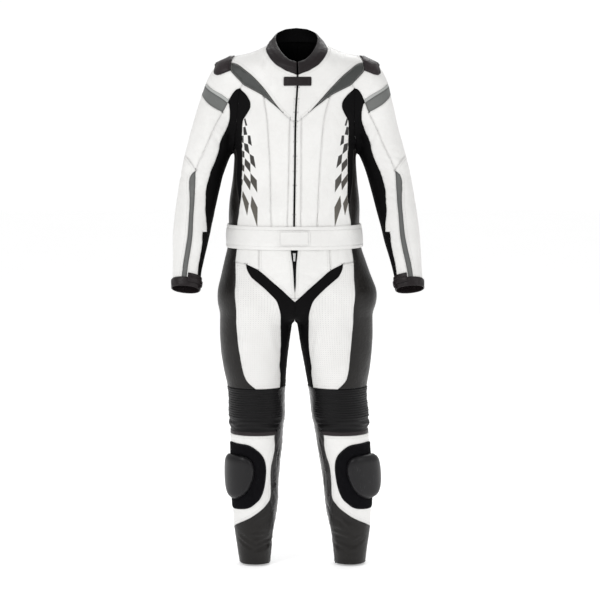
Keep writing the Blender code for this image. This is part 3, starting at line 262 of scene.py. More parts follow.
def ray_from(side: int, rows: Array, far: float = 0.3) -> tuple[Array, Array]:
    """Level rays onto the front (-1) or back (1) cloth, at rows of across and height in metres."""
    origins = np.column_stack([rows[:, 0], np.full(len(rows), far * side), rows[:, 1]])
    return origins, np.tile([0.0, -1.0 * side, 0.0], (len(rows), 1))


def rays_round(turn: Array, height: Array) -> tuple[Array, Array]:
    """Level rays out of the suit's middle line, by turn from the front and height in metres."""
    origins = np.column_stack([np.zeros((len(turn), 2)), height])
    return origins, np.column_stack([np.sin(turn), -np.cos(turn), np.zeros(len(turn))])


def tree_of(points: Array) -> KDTree:
    """A search tree of points in space.

    Args:
        points: The points.

    Returns:
        The tree, which knows each by its number.
    """
    tree = KDTree(len(points))
    for index, point in enumerate(points):
        tree.insert(point, index)
    tree.balance()
    return tree


class Form:
    """The hollow form of the suit, which every panel lies on: trunk, sleeves and legs, blended."""

    TRUNK_SQUARENESS = 2.35
    LIMB_SQUARENESS = 2.1
    LOWEST_TRUNK = -690 * MM
    HIGHEST_TRUNK = 62 * MM
    HIGHEST_LEG = -600 * MM
    ARMPIT_BLEND = 14 * MM
    SHOULDER_BLEND = 31 * MM
    FOLD_FADE = 25 * MM
    TRUNK_FOOT_BLEND, TRUNK_TOP_BLEND = 0.04, 0.02
    LEG_TOP_BLEND, CROTCH_BLEND, HIP_BLEND = 0.04, 0.02, 0.03
    # heights in metres: the trunk's and sleeves' least, the legs' greatest, the armpit's blend
    LEAST_TRUNK, LEAST_SLEEVE, MOST_LEG = -0.80, -0.75, -0.50
    ARMPIT = (-0.22, -0.08)
    SLEEVE_START = (0.175, 0.225)
    SAMPLES = 90
    RAY_ROUNDS, RAY_SHARE, RAY_STRIDE = 18, 0.9, 0.06

    def __init__(self) -> None:
        """Measures the sleeve's middle line."""
        steps = np.linalg.norm(np.diff(SLEEVE[:, :3], axis=0), axis=1)
        along = np.concatenate([[0], np.cumsum(steps)])
        self.sleeve_length = along[-1]
        self.sleeve_table = np.column_stack([along, SLEEVE])
        self.samples = np.linspace(0, self.sleeve_length, self.SAMPLES)
        self.line = read_table(self.sleeve_table, self.samples)[:, :3]

    def sleeve_frame(self, along: Array) -> tuple[Array, Array, Array, Array]:
        """Sizes, and directions along, to the front and outwards, at a distance along the sleeve.

        Args:
            along: Distances along it, in metres.

        Returns:
            The sizes and the three directions at each.
        """
        half_step = 2 * MM
        sizes = read_table(self.sleeve_table, along)
        before = read_table(self.sleeve_table, np.clip(along - half_step, 0, self.sleeve_length))
        after = read_table(self.sleeve_table, np.clip(along + half_step, 0, self.sleeve_length))
        tangent = unit(after[:, :3] - before[:, :3])
        front = np.tile([0.0, -1.0, 0.0], (len(sizes), 1))
        front -= (front * tangent).sum(1)[:, None] * tangent
        front = unit(front)
        return sizes, tangent, front, np.cross(front, tangent)

    def sleeve_place(self, points: Array) -> tuple[Array, Array, Array, Array]:
        """Distance along the sleeve, how far to the front and outwards, and the sizes there.

        Args:
            points: Places on the left of the middle plane, in metres.

        Returns:
            The distance, both offsets and the sizes for each.
        """
        apart = ((points[:, None, :] - self.line[None]) ** 2).sum(2)
        along = self.samples[apart.argmin(1)]
        for _ in range(2):
            sizes, tangent, front, outwards = self.sleeve_frame(along)
            step = ((points - sizes[:, :3]) * tangent).sum(1)
            along = np.clip(along + step, 0, self.sleeve_length)
        sizes, tangent, front, outwards = self.sleeve_frame(along)
        offset = points - sizes[:, :3]
        return along, (offset * front).sum(1), (offset * outwards).sum(1), sizes

    def trunk_field(self, points: Array) -> Array:
        """Below zero inside the trunk.

        Args:
            points: Places in metres.

        Returns:
            About the distance outside it, in metres.
        """
        half_width, front, back = read_table(TRUNK, points[:, 2]).T
        depth = np.where(points[:, 1] < 0, front, back)
        tube = oval(points[:, 0], points[:, 1], half_width, depth, self.TRUNK_SQUARENESS)
        tube = smooth_max(tube, self.LOWEST_TRUNK - points[:, 2], self.TRUNK_FOOT_BLEND)
        return smooth_max(tube, points[:, 2] - self.HIGHEST_TRUNK, self.TRUNK_TOP_BLEND)

    def sleeve_field(self, points: Array) -> Array:
        """Below zero inside either sleeve, which runs on past its cuff.

        Args:
            points: Places in metres.

        Returns:
            About the distance outside it, in metres.
        """
        mirrored = np.column_stack([np.abs(points[:, 0]), points[:, 1:]])
        _, front, outwards, sizes = self.sleeve_place(mirrored)
        depth = np.where(front > 0, sizes[:, 4], sizes[:, 5])
        return oval(front, outwards, depth, sizes[:, 3], self.LIMB_SQUARENESS)

    def leg_field(self, points: Array, side: int) -> Array:
        """Below zero inside the leg on this side (1 or -1).

        Args:
            points: Places in metres.
            side: 1 for the left leg, -1 for the right.

        Returns:
            About the distance outside it, in metres.
        """
        across, half_width, middle, front, back = read_table(LEG, points[:, 2]).T
        deep = points[:, 1] - middle
        depth = np.where(deep < 0, front, back)
        tube = oval(points[:, 0] - side * across, deep, half_width, depth, self.LIMB_SQUARENESS)
        return smooth_max(tube, points[:, 2] - self.HIGHEST_LEG, self.LEG_TOP_BLEND)

    def fold_field(self, points: Array) -> Array:
        """How far the large folds push the cloth in.

        Args:
            points: Places in metres.

        Returns:
            The push at each, in metres.
        """
        total = np.zeros(len(points))
        across, height = np.abs(points[:, 0]), points[:, 2]
        for side, x, z, turn, half_length, half_width, depth in LARGE_FOLDS:
            angle = math.radians(turn)
            dx, dz = across - x * MM, height - z * MM
            run = -dx * math.sin(angle) + dz * math.cos(angle)
            wide = dx * math.cos(angle) + dz * math.sin(angle)
            bump = np.exp(-(run / (half_length * MM)) ** 2 - (wide / (half_width * MM)) ** 2)
            facing = smooth_step(-self.FOLD_FADE, self.FOLD_FADE, side * points[:, 1])
            total += depth * MM * bump * facing
        return total

    def field(self, points: Array) -> Array:
        """Below zero inside the suit, about the distance outside it.

        Args:
            points: Places in metres.

        Returns:
            The value at each, in metres.
        """
        values = np.full(len(points), 9.0)
        upper = points[:, 2] > self.LEAST_TRUNK
        values[upper] = self.trunk_field(points[upper])
        arms = points[:, 2] > self.LEAST_SLEEVE
        if arms.any():
            blend = smooth_step(*self.ARMPIT, points[arms, 2])
            reach = self.ARMPIT_BLEND + self.SHOULDER_BLEND * blend
            values[arms] = smooth_min(values[arms], self.sleeve_field(points[arms]), reach)
        lower = points[:, 2] < self.MOST_LEG
        if lower.any():
            below = points[lower]
            pair = self.leg_field(below, 1), self.leg_field(below, -1)
            legs = smooth_min(*pair, self.CROTCH_BLEND)
            values[lower] = smooth_min(values[lower], legs, self.HIP_BLEND)
        return values + self.fold_field(points)

    def slope(self, points: Array) -> Array:
        """The field's gradient.

        Args:
            points: Places in metres.

        Returns:
            One vector for each.
        """
        slope = np.zeros_like(points)
        reach = 0.5 * MM
        for axis in range(3):
            step = np.zeros(3)
            step[axis] = reach
            slope[:, axis] = (self.field(points + step) - self.field(points - step)) / (2 * reach)
        return slope

    def normal(self, points: Array) -> Array:
        """Unit directions out of the cloth."""
        return unit(self.slope(points))

    def settle(self, points: Array, rounds: int = 6) -> Array:
        """Moves points onto the form by the shortest way.

        Args:
            points: Places in metres.
            rounds: How often each is moved.

        Returns:
            The points on the form.
        """
        for _ in range(rounds):
            slope = self.slope(points)
            points = points - (self.field(points) / (slope**2).sum(1))[:, None] * slope
        return points

    def cast(self, origins: Array, directions: Array, inside: bool = True) -> Array:
        """Where rays from inside the form leave it, or from outside reach it.

        Args:
            origins: Where the rays start, in metres.
            directions: Their directions, one long.
            inside: Whether they start inside the form.

        Returns:
            The points on the form.
        """
        sign = -1 if inside else 1
        run = np.zeros(len(origins))
        for _ in range(self.RAY_ROUNDS):
            values = self.field(origins + run[:, None] * directions)
            run += np.clip(sign * values * self.RAY_SHARE, -self.RAY_STRIDE, self.RAY_STRIDE)
        return self.settle(origins + run[:, None] * directions, 2)

    @classmethod
    def posed(cls, points: Array) -> Array:
        """The suit's slight lean, and its left sleeve a little further out.

        Args:
            points: Places on the upright form, in metres.

        Returns:
            The same places on the suit as it hangs.
        """
        moved = points.copy()
        spread = smooth_step(*cls.SLEEVE_START, points[:, 0])
        moved[:, 0] += read_table(LEAN, points[:, 2])[:, 0]
        moved[:, 0] += spread * read_table(SLEEVE_SPREAD, points[:, 2])[:, 0]
        return moved


FORM = Form()

# Seam points, as each View says. A seam of several rows runs on from one to the next.
F, B, N, R = View.FRONT, View.BACK, View.NEAR, View.ROUND
ARMHOLE = (
    (B, ((154, -165), (160, -200))),
    (N, ((167, 0, -224),)),
    (F, (
        (160, -202), (156, -170), (155, -136), (154, -104), (152, -78), (145, -67), (161, -49),
        (176, -32), (177, -20), (175, -9),
    )),
    (N, ((167, 0, 8),)),
    (B, ((164, -16), (156, -48), (150, -85), (150, -125))),
)

# degrees from the front, height in mm
NECKLINE = (
    (0, -41), (18, -30), (33, -15), (50, 11), (60, 23), (75, 34), (90, 37), (120, 42), (150, 46),
    (180, 47),
)

TRUNK_SEAMS = {
    "wedge_top": (
        (F, (
            (175, -9), (163, -12), (152, -18), (138, -29), (123, -41), (109, -54), (92, -72),
            (78, -88), (65, -104), (51, -121), (36, -138), (12, -159), (0, -166),
        )),
    ),
    "wedge_bottom": ((F, ((145, -67), (125, -77), (92, -94), (64, -115), (36, -138))),),
    "princess": ((F, ((87, -96), (75, -159), (67, -264), (63, -370), (61, -475))),),
    "stretch_front": (
        (F, (
            (152, -78), (134, -94), (122, -113), (122, -128), (130, -144), (139, -160),
            (141, -179), (141, -240), (141, -319), (142, -359), (148, -413), (152, -435),
            (154, -475),
        )),
    ),
    "stretch_back": (
        (N, ((167, 0, -224),)),
        (F, ((157, -241), (155, -307), (151, -347), (144, -386))),
    ),
    "side_back": (
        (B, ((160, -200),)),
        (R, ((122, -240), (119, -350), (122, -475))),
    ),
    "shoulder": ((N, ((76, 4, 36), (118, 6, 16), (167, 0, 8))),),
    "zip_facing": ((F, ((15, -157), (16, -264), (18, -444), (18, -475))),),
}

SLEEVE_SEAMS = {
    "cup": (
        (F, ((176, -32),)),
        (R, (
            (36, 132), (45, 138), (58, 139), (74, 134), (90, 130), (106, 132), (122, 136),
            (136, 135), (150, 129), (161, 120),
        )),
        (B, ((156, -48),)),
    ),
    "cap_bottom": ((F, ((152, -78), (179, -108))),),
    "band_top": (
        (F, ((179, -108), (198, -95), (221, -82), (240, -68))),
        (N, ((252, 4, -62),)),
        (B, ((240, -70), (221, -84), (198, -98), (172, -112), (150, -125))),
    ),
    "band_bottom": (
        (F, ((194, -141), (212, -132), (229, -122), (243, -110), (251, -100))),
        (N, ((260, 4, -94),)),
        (B, ((251, -102), (243, -112), (229, -124), (212, -136), (190, -149), (154, -165))),
    ),
    "sleeve_front": (
        (F, ((179, -108), (194, -141), (217, -185), (237, -232), (253, -267), (264, -296))),
    ),
    "elbow": (
        (F, ((264, -296), (277, -276), (290, -262))),
        (N, ((304, 10, -258),)),
        (B, ((292, -264), (268, -286), (244, -298))),
        (R, ((205, 376), (226, 380))),
    ),
    "stripe_out": (
        (F, (
            (264, -296), (278, -309), (282, -334), (279, -374), (280, -413), (283, -465),
            (289, -504), (296, -543), (301, -594),
        )),
    ),
    "stripe_in": (
        (F, (
            (264, -296), (265, -321), (266, -374), (268, -413), (270, -465), (275, -504),
            (282, -543), (289, -594),
        )),
    ),
    "stretch_edge": (
        (F, (
            (179, -108), (179, -116), (175, -145), (176, -164), (184, -188), (197, -214),
            (203, -241), (211, -268), (224, -300), (230, -321), (236, -348), (236, -374),
            (237, -403), (234, -427), (232, -459),
        )),
    ),
    "stretch_step": ((F, ((231, -459), (243, -458))),),
    "stretch_low": ((F, ((243, -457), (247, -505), (254, -545), (259, -594))),),
    "band_split": (
        (F, ((181, -117), (198, -105), (220, -92), (241, -77))),
        (N, ((255, 4, -71),)),
        (B, ((241, -79), (220, -95), (198, -109), (174, -123), (152, -137))),
    ),
}

LEG_SEAMS = {
    "thigh_side": (
        (F, (
            (151, -470), (156, -522), (158, -572), (160, -612), (157, -665), (156, -705),
            (151, -759), (146, -799), (141, -831), (134, -853), (124, -866), (106, -881),
        )),
    ),
    "knee_top": ((R, ((-52.5, -878), (60, -878), (186, -878))),),
    "knee_band": ((R, ((-60, -1006), (40, -1006), (132, -1006))),),
    "gusset_top": (
        (F, ((129, -542), (108, -551), (92, -560), (66, -582), (40, -605), (13, -630), (2, -640))),
    ),
    "gusset_bottom": (
        (F, (
            (129, -542), (128, -552), (124, -563), (116, -576), (98, -591), (77, -609),
            (58, -628), (48, -641), (42, -658), (38, -675), (37, -707), (37, -748), (39, -789),
            (42, -819), (41, -841), (44, -878),
        )),
    ),
    "hip": ((F, ((157, -538), (129, -542))),),
    "shin_inner": (
        (F, (
            (44, -878), (48, -890), (45, -926), (43, -946), (51, -977), (65, -1006), (66, -1034),
            (70, -1062), (78, -1092), (81, -1131), (82, -1174), (85, -1188),
        )),
    ),
    "shin_bottom": (
        (F, ((85, -1188), (99, -1206), (118, -1222), (140, -1237), (168, -1252))),
        (R, ((0, -1268), (-40, -1262), (-62, -1250))),
    ),
    "back": (
        (R, ((-42, -472), (-46, -600), (-52, -878), (-60, -1000), (-60, -1200), (-58, -1372))),
    ),
    "velcro": (
        (F, (
            (160, -1029), (133, -1033), (107, -1053), (96, -1073), (93, -1102), (97, -1138),
            (103, -1163), (112, -1183), (126, -1197), (139, -1207), (156, -1212),
        )),
        (R, (
            (14, -1213), (-12, -1196), (-25, -1155), (-27, -1110), (-23, -1070), (-10, -1042),
            (14, -1029),
        )),
    ),
    "slider": (
        (R, (
            (30, -1060), (50, -1060), (68, -1062), (79, -1070), (86, -1084), (89, -1104),
            (86, -1128), (78, -1150), (66, -1168), (50, -1180), (32, -1184), (14, -1178),
            (0, -1162), (-9, -1140), (-12, -1114), (-8, -1088), (2, -1070), (15, -1062),
        )),
    ),
    "fly": ((F, ((10, -472), (9, -508), (5, -542), (2.5, -596), (-1, -626))),),
    "hip_princess": ((F, ((93, -474), (94, -510), (95, -559))),),
    "inner_calf": ((F, ((85, -1188), (78, -1248), (85, -1319), (91, -1372))),),
    "knee_binding": ((R, ((-64, -995), (40, -995), (152, -995))),),
}


class Chart:
    """A flat chart of a part of the form, in millimetres."""

    radius: float = 100 * MM

    def place(self, chart: Array) -> Array:
        """Points of the form under these points of the chart."""
        raise NotImplementedError

    def chart(self, points: Array) -> Array:
        """The chart's points over these points of the form."""
        raise NotImplementedError

    def spots(self, rows: Iterable) -> Array:
        """The chart's points of a seam's rows, each given as its View says.

        Args:
            rows: A view and its points, one or more times.

        Returns:
            The points, in millimetres.
        """
        found = []
        for view, points in rows:
            points = np.array(points, float)
            if view is View.ROUND:
                turns = np.radians(points[:, 0]) * self.radius / MM
                found.append(np.column_stack([turns, points[:, 1]]))
            elif view is View.NEAR:
                found.append(self.chart(FORM.settle(points * MM)))
            else:
                side = -1 if view is View.FRONT else 1
                found.append(self.chart(FORM.cast(*ray_from(side, points * MM), inside=False)))
        return np.concatenate(found)


class Trunk(Chart):
    """The chart of half the trunk: turn from the front, and height or slant."""

    radius = 150 * MM

    def place(self, chart: Array) -> Array:
        """Points of the form under these points of the chart.

        Args:
            chart: Points of the chart, in millimetres.

        Returns:
            The points in metres.
        """
        turn, rise = chart[:, 0] * MM / self.radius, chart[:, 1] * MM
        lift = np.clip(rise - FAN_HEIGHT * MM, 0, None) / self.radius
        flat = np.cos(lift)
        directions = np.column_stack([np.sin(turn) * flat, -np.cos(turn) * flat, np.sin(lift)])
        origins = np.zeros((len(chart), 3))
        origins[:, 2] = np.minimum(rise, FAN_HEIGHT * MM)
        return FORM.cast(origins, directions)

    def chart(self, points: Array) -> Array:
        """The chart's points over these points of the form.

        Args:
            points: Points of the form, in metres.

        Returns:
            The points of the chart, in millimetres.
        """
        fan = FAN_HEIGHT * MM
        turn = np.arctan2(points[:, 0], -points[:, 1])
        lift = np.arctan2(points[:, 2] - fan, np.hypot(points[:, 0], points[:, 1]))
        rise = np.where(points[:, 2] > fan, fan + lift * self.radius, points[:, 2])
        return np.column_stack([turn * self.radius, rise]) / MM


class Sleeve(Chart):
    """The chart of a sleeve: turn from the front towards the outside, and length along it."""

    radius = 55 * MM

    def place(self, chart: Array) -> Array:
        """Points of the form under these points of the chart.

        Args:
            chart: Points of the chart, in millimetres.

        Returns:
            The points in metres.
        """
        turn, along = chart[:, 0] * MM / self.radius, chart[:, 1] * MM
        sizes, _, front, outwards = FORM.sleeve_frame(along)
        directions = np.cos(turn)[:, None] * front + np.sin(turn)[:, None] * outwards
        return FORM.cast(sizes[:, :3], directions)

    def chart(self, points: Array) -> Array:
        """The chart's points over these points of the form.

        Args:
            points: Points of the form, in metres.

        Returns:
            The points of the chart, in millimetres.
        """
        along, front, outwards, _ = FORM.sleeve_place(points)
        turn = np.arctan2(outwards, front)
        turn = np.where(turn < math.radians(SLEEVE_CUT), turn + 2 * math.pi, turn)
        return np.column_stack([turn * self.radius, along]) / MM


class Leg(Chart):
    """The chart of a trouser leg: turn from the outside towards the front, and height."""

    radius = 85 * MM

    def place(self, chart: Array) -> Array:
        """Points of the form under these points of the chart.

        Args:
            chart: Points of the chart, in millimetres.

        Returns:
            The points in metres.
        """
        turn, height = chart[:, 0] * MM / self.radius, chart[:, 1] * MM
        across, _, middle, _, _ = read_table(LEG, height).T
        directions = np.column_stack([np.cos(turn), -np.sin(turn), np.zeros(len(chart))])
        return FORM.cast(np.column_stack([across, middle, height]), directions)

    def chart(self, points: Array) -> Array:
        """The chart's points over these points of the form.

        Args:
            points: Points of the form, in metres.

        Returns:
            The points of the chart, in millimetres.
        """
        across, _, middle, _, _ = read_table(LEG, points[:, 2]).T
        turn = np.arctan2(-(points[:, 1] - middle), points[:, 0] - across)
        return np.column_stack([turn * self.radius, points[:, 2]]) / MM


def through(controls: Array, step: float, closed: bool = False) -> Array:
    """A smooth line through control points.

    Args:
        controls: The points that the line runs through.
        step: The longest space between two points of the line.
        closed: Whether the line runs back to its start.

    Returns:
        The line's points.
    """
    controls = np.asarray(controls, float)
    if closed:
        controls = np.vstack([controls[-1], controls, controls[:2]])
    else:
        first = 2 * controls[0] - controls[1]
        last = 2 * controls[-1] - controls[-2]
        controls = np.vstack([first, controls, last])
    line = []
    for before, start, end, after in zip(controls, controls[1:], controls[2:], controls[3:]):
        limit = np.linalg.norm(end - start)
        leave, arrive = (end - before) / 2, (after - start) / 2
        leave *= min(1.0, limit / max(np.linalg.norm(leave), 1e-12))
        arrive *= min(1.0, limit / max(np.linalg.norm(arrive), 1e-12))
        count = max(1, math.ceil(limit / step))
        part = (np.arange(count) / count)[:, None]
        line.append(
            (1 + 2 * part) * (1 - part) ** 2 * start
            + part * (1 - part) ** 2 * leave
            + part**2 * (3 - 2 * part) * end
            + part**2 * (part - 1) * arrive
        )
    if not closed:
        line.append(controls[-2:-1])
    return np.concatenate(line)


def evenly(line: Array, step: float, closed: bool = False) -> Array:
    """The line walked again in equal steps about this long.

    Args:
        line: The points of the line.
        step: About how long a step is.
        closed: Whether it runs back to its start.

    Returns:
        The walked points.
    """
    if closed:
        line = np.vstack([line, line[:1]])
    run = np.concatenate([[0], np.cumsum(np.linalg.norm(np.diff(line, axis=0), axis=1))])
    count = max(2, round(run[-1] / step))
    stops = np.linspace(0, run[-1], count + 1)
    walked = np.column_stack([np.interp(stops, run, column) for column in line.T])
    return walked[:-1] if closed else walked


def armhole_curve() -> Array:
    """The seam between body and sleeve, once round from its lowest point behind.

    Returns:
        Its points on the form, in metres.
    """
    found = []
    for view, points in ARMHOLE:
        points = np.array(points, float) * MM
        if view is View.NEAR:
            found.append(FORM.settle(points))
        else:
            side = -1 if view is View.FRONT else 1
            found.append(FORM.cast(*ray_from(side, points), inside=False))
    coarse = through(np.concatenate(found), 3 * MM, closed=True)
    return FORM.settle(evenly(coarse, SEAM_STEP * MM, closed=True))


@dataclass
class Panel:
    """One panel of cloth as it is cut, on the left half of the form."""

    name: str
    faces: Array
    loops: list[Array]


@dataclass
class Cloth:
    """Every point of a chart's cut, its place and direction out, and its panels."""

    flat: Array
    places: Array
    outward: Array
    panels: dict[str, Panel]


class Cutting:
    """The seams drawn on one chart, and the panels that they cut from it."""

    SNAP = 9.0
    OVERRUN = 2.5
    CLEAR = 0.62
    JOIN = 0.05

    def __init__(self, chart: Chart, spacing: float) -> None:
        """Starts with an empty chart.

        Args:
            chart: The chart that the seams are drawn on.
            spacing: The space between the points inside a panel.
        """
        self.chart = chart
        self.spacing = spacing
        self.points: list[Array] = []
        self.count = 0
        self.edges: list[tuple[int, int]] = []
        self.hard: list[bool] = []
        self.fixed: dict[int, Array] = {}
        self.anchors = np.full((1, 2), math.inf)
        self.bare: list[Callable[[Array], Array]] = []
        self.middle: set[int] = set()

    def draw(
        self,
        line: Array,
        hard: bool = True,
        places: Array | None = None,
        closed: bool = False,
        anchor: bool = False,
        middle: bool = False,
    ) -> Array:
        """Adds a line to the chart.

        Args:
            line: The chart's points along it.
            hard: Whether it parts two panels.
            places: Where its points lie on the form, if that is known.
            closed: Whether it runs back to its start.
            anchor: Whether a seam may end on its points.
            middle: Whether it lies in the suit's plane of symmetry.

        Returns:
            The line.
        """
        start, count = self.count, len(line)
        if middle:
            self.middle.update(range(len(self.edges), len(self.edges) + count - 1))
        self.points.append(np.asarray(line, float))
        self.count += count
        if places is not None:
            self.fixed.update({start + index: places[index] for index in range(count)})
        if anchor:
            self.anchors = np.vstack([self.anchors, line])
        last = count if closed else count - 1
        self.edges.extend((start + index, start + (index + 1) % count) for index in range(last))
        self.hard.extend([hard] * last)
        return line

    def seam(self, rows: Iterable, closed: bool = False) -> Array:
        """Draws a seam through its points, a little past an end that lies on no anchor.

        Args:
            rows: A view and its points, one or more times.
            closed: Whether it runs back to its start.

        Returns:
            The seam's points on the chart.
        """
        line = evenly(through(self.chart.spots(rows), SEAM_STEP / 2, closed), SEAM_STEP, closed)
        if not closed:
            for end, inner in ((0, 1), (-1, -2)):
                away = np.hypot(*(self.anchors - line[end]).T)
                if away.min() < self.SNAP:
                    line[end] = self.anchors[away.argmin()]
                else:
                    out = line[end] - line[inner]
                    line[end] += out / np.linalg.norm(out) * self.OVERRUN
        return self.draw(line, closed=closed)

    def fill(self) -> None:
        """Adds points between the seams, clear of them."""
        lines = np.concatenate(self.points)
        tree = tree_of(np.column_stack([lines, np.zeros(len(lines))]))
        low, high = lines.min(0), lines.max(0)
        row_step = self.spacing * math.sqrt(3) / 2
        rows = []
        for row, height in enumerate(np.arange(low[1], high[1], row_step)):
            across = np.arange(low[0] + self.spacing / 2 * (row % 2), high[0], self.spacing)
            rows.append(np.column_stack([across, np.full(len(across), height)]))
        points = np.concatenate(rows)
        for test in self.bare:
            points = points[~test(points)]
        clear = self.CLEAR * self.spacing
        kept = [point for point in points if tree.find((*point, 0))[2] > clear]
        self.points.append(np.array(kept))
        self.count += len(kept)

    def cut(self, labels: dict[str, tuple]) -> Cloth:
        """Cuts the panels out.

        Args:
            labels: A view and a point inside each panel, by its name.

        Returns:
            The cut cloth.
        """
        corners = [Vector(point) for point in np.concatenate(self.points)]
        flat, edges, faces, from_points, from_edges, _ = delaunay_2d_cdt(
            corners, self.edges, [], 0, self.JOIN
        )
        flat = np.array([tuple(point) for point in flat])
        walls = {
            (min(edge), max(edge))
            for edge, sources in zip(edges, from_edges)
            if any(self.hard[source] for source in sources)
        }
        owner = regions(faces, walls)
        faces = np.array(faces)
        used = np.zeros(len(flat), bool)
        chosen = {}
        for name, (view, point) in labels.items():
            label = self.chart.spots([(view, (point,))])[0]
            region = owner[face_under(flat, faces, label)]
            chosen[name] = faces[owner == region]
            used[chosen[name].ravel()] = True
        places = np.zeros((len(flat), 3))
        outward = np.zeros((len(flat), 3))
        places[used] = self.chart.place(flat[used])
        for index in np.flatnonzero(used):
            for source in from_points[index]:
                if source in self.fixed:
                    places[index] = self.fixed[source]
        for edge, sources in zip(edges, from_edges):
            if self.middle.intersection(sources):
                places[list(edge), 0] = 0
        outward[used] = FORM.normal(places[used])
        panels = {}
        for name, own in chosen.items():
            own = faced(own, places, outward)
            panels[name] = Panel(name, own, border_loops(own))
        return Cloth(flat, places, outward, panels)


def regions(faces: Sequence, walls: set) -> Array:
    """A number for each triangle, the same for those that no wall parts.

    Args:
        faces: The triangles' corners.
        walls: The edges that part two panels.

    Returns:
        One number for each triangle.
    """
    beside: dict[tuple[int, int], list[int]] = {}
    for number, face in enumerate(faces):
        for first, second in zip(face, face[1:] + face[:1]):
            beside.setdefault((min(first, second), max(first, second)), []).append(number)
    joined: list[list[int]] = [[] for _ in faces]
    for edge, pair in beside.items():
        if len(pair) == 2 and edge not in walls:
            joined[pair[0]].append(pair[1])
            joined[pair[1]].append(pair[0])
    owner = np.full(len(faces), -1)
    for start in range(len(faces)):
        if owner[start] >= 0:
            continue
        owner[start] = start
        waiting = [start]
        while waiting:
            for number in joined[waiting.pop()]:
                if owner[number] < 0:
                    owner[number] = start
                    waiting.append(number)
    return owner


def face_under(flat: Array, faces: Array, point: Array) -> int:
    """The triangle of the chart that holds a point.

    Args:
        flat: The chart's points.
        faces: The triangles' corners.
        point: A point of the chart.

    Returns:
        The triangle's number.
    """
    corners = flat[faces]
    turns = []
    for first in range(3):
        side = corners[:, (first + 1) % 3] - corners[:, first]
        to = point - corners[:, first]
        turns.append(side[:, 0] * to[:, 1] - side[:, 1] * to[:, 0])
    inside = np.min(turns, axis=0) * np.sign(np.sum(turns, axis=0))
    return int(np.argmax(inside))


def faced(faces: Array, places: Array, outward: Array) -> Array:
    """The triangles turned to face out of the cloth.

    Args:
        faces: The triangles' corners.
        places: The points on the form.
        outward: The direction out at each.

    Returns:
        The triangles, all turned or none.
    """
    a, b, c = places[faces[:, 0]], places[faces[:, 1]], places[faces[:, 2]]
    total = (np.cross(b - a, c - a) * outward[faces[:, 0]]).sum()
    return faces if total > 0 else faces[:, ::-1]


def border_loops(faces: Array) -> list[Array]:
    """The panel's edge as rings of points, each with the panel on its left.

    Args:
        faces: The triangles' corners.

    Returns:
        The rings, the longest first.
    """
    pairs = {(int(face[i]), int(face[(i + 1) % 3])) for face in faces for i in range(3)}
    after = {first: second for first, second in pairs if (second, first) not in pairs}
    loops = []
    while after:
        start, point = after.popitem()
        loop = [start]
        while point != start and point in after:
            loop.append(point)
            point = after.pop(point)
        loops.append(np.array(loop))
    return sorted(loops, key=len, reverse=True)


def seam_steps(start: float, end: float) -> Array:
    """Even steps from start to end, about as long as a seam's."""
    return np.linspace(start, end, math.ceil(abs(end - start) / SEAM_STEP) + 1)


def level_line(around: Array, height: float) -> Array:
    """A chart's points along one height."""
    return np.column_stack([around, np.full(len(around), height)])


def upright_line(across: float, heights: Array) -> Array:
    """A chart's points along one turn."""
    return np.column_stack([np.full(len(heights), across), heights])


def trunk_cutting(armhole: Array) -> Cutting:
    """Half the jacket's body, with its armhole.

    Args:
        armhole: The points of the armhole's seam.

    Returns:
        The chart with its seams drawn.
    """
    chart = Trunk()
    cutting = Cutting(chart, POINT_SPACING)
    turns = np.arange(0, 181, 2)
    heights = np.interp(turns, *np.array(NECKLINE, float).T) * MM
    neck = evenly(chart.chart(FORM.cast(*rays_round(np.radians(turns), heights))), SEAM_STEP)
    half_turn = math.pi * chart.radius / MM
    neck[0, 0], neck[-1, 0] = 0, half_turn
    cutting.draw(neck)
    for across, top in ((0, neck[0, 1]), (half_turn, neck[-1, 1])):
        cutting.draw(upright_line(across, seam_steps(top, JACKET_HEM)), middle=True)
    cutting.draw(level_line(seam_steps(0, half_turn), JACKET_HEM))
    cutting.draw(chart.chart(armhole), places=armhole, closed=True, anchor=True)
    for rows in TRUNK_SEAMS.values():
        cutting.seam(rows)
    cutting.fill()
    return cutting


def sleeve_cutting(armhole: Array) -> Cutting:
    """One sleeve, from its armhole to the cuff, slit along its inner back.

    Args:
        armhole: The points of the armhole's seam.

    Returns:
        The chart with its seams drawn.
    """
    chart = Sleeve()
    cutting = Cutting(chart, POINT_SPACING)
    line = chart.chart(armhole)
    full_turn = 2 * math.pi * chart.radius / MM
    line[:, 0] = np.unwrap(line[:, 0], period=full_turn)
    slit_turn = math.radians(SLEEVE_CUT) * chart.radius / MM
    line[:, 0] -= full_turn * round((line[0, 0] - slit_turn) / full_turn)
    line = np.vstack([line, line[0] + [full_turn, 0]])
    cutting.draw(line, places=np.vstack([armhole, armhole[:1]]), anchor=True)
    start = line[0]
    slit = upright_line(start[0], seam_steps(start[1], CUFF_START))
    places = np.vstack([armhole[:1], chart.place(slit[1:])])
    cutting.draw(slit, places=places)
    cutting.draw(slit + [full_turn, 0], places=places)
    cutting.draw(level_line(seam_steps(start[0], start[0] + full_turn), CUFF_START))
    for rows in SLEEVE_SEAMS.values():
        cutting.seam(rows)
    cutting.fill()
    return cutting


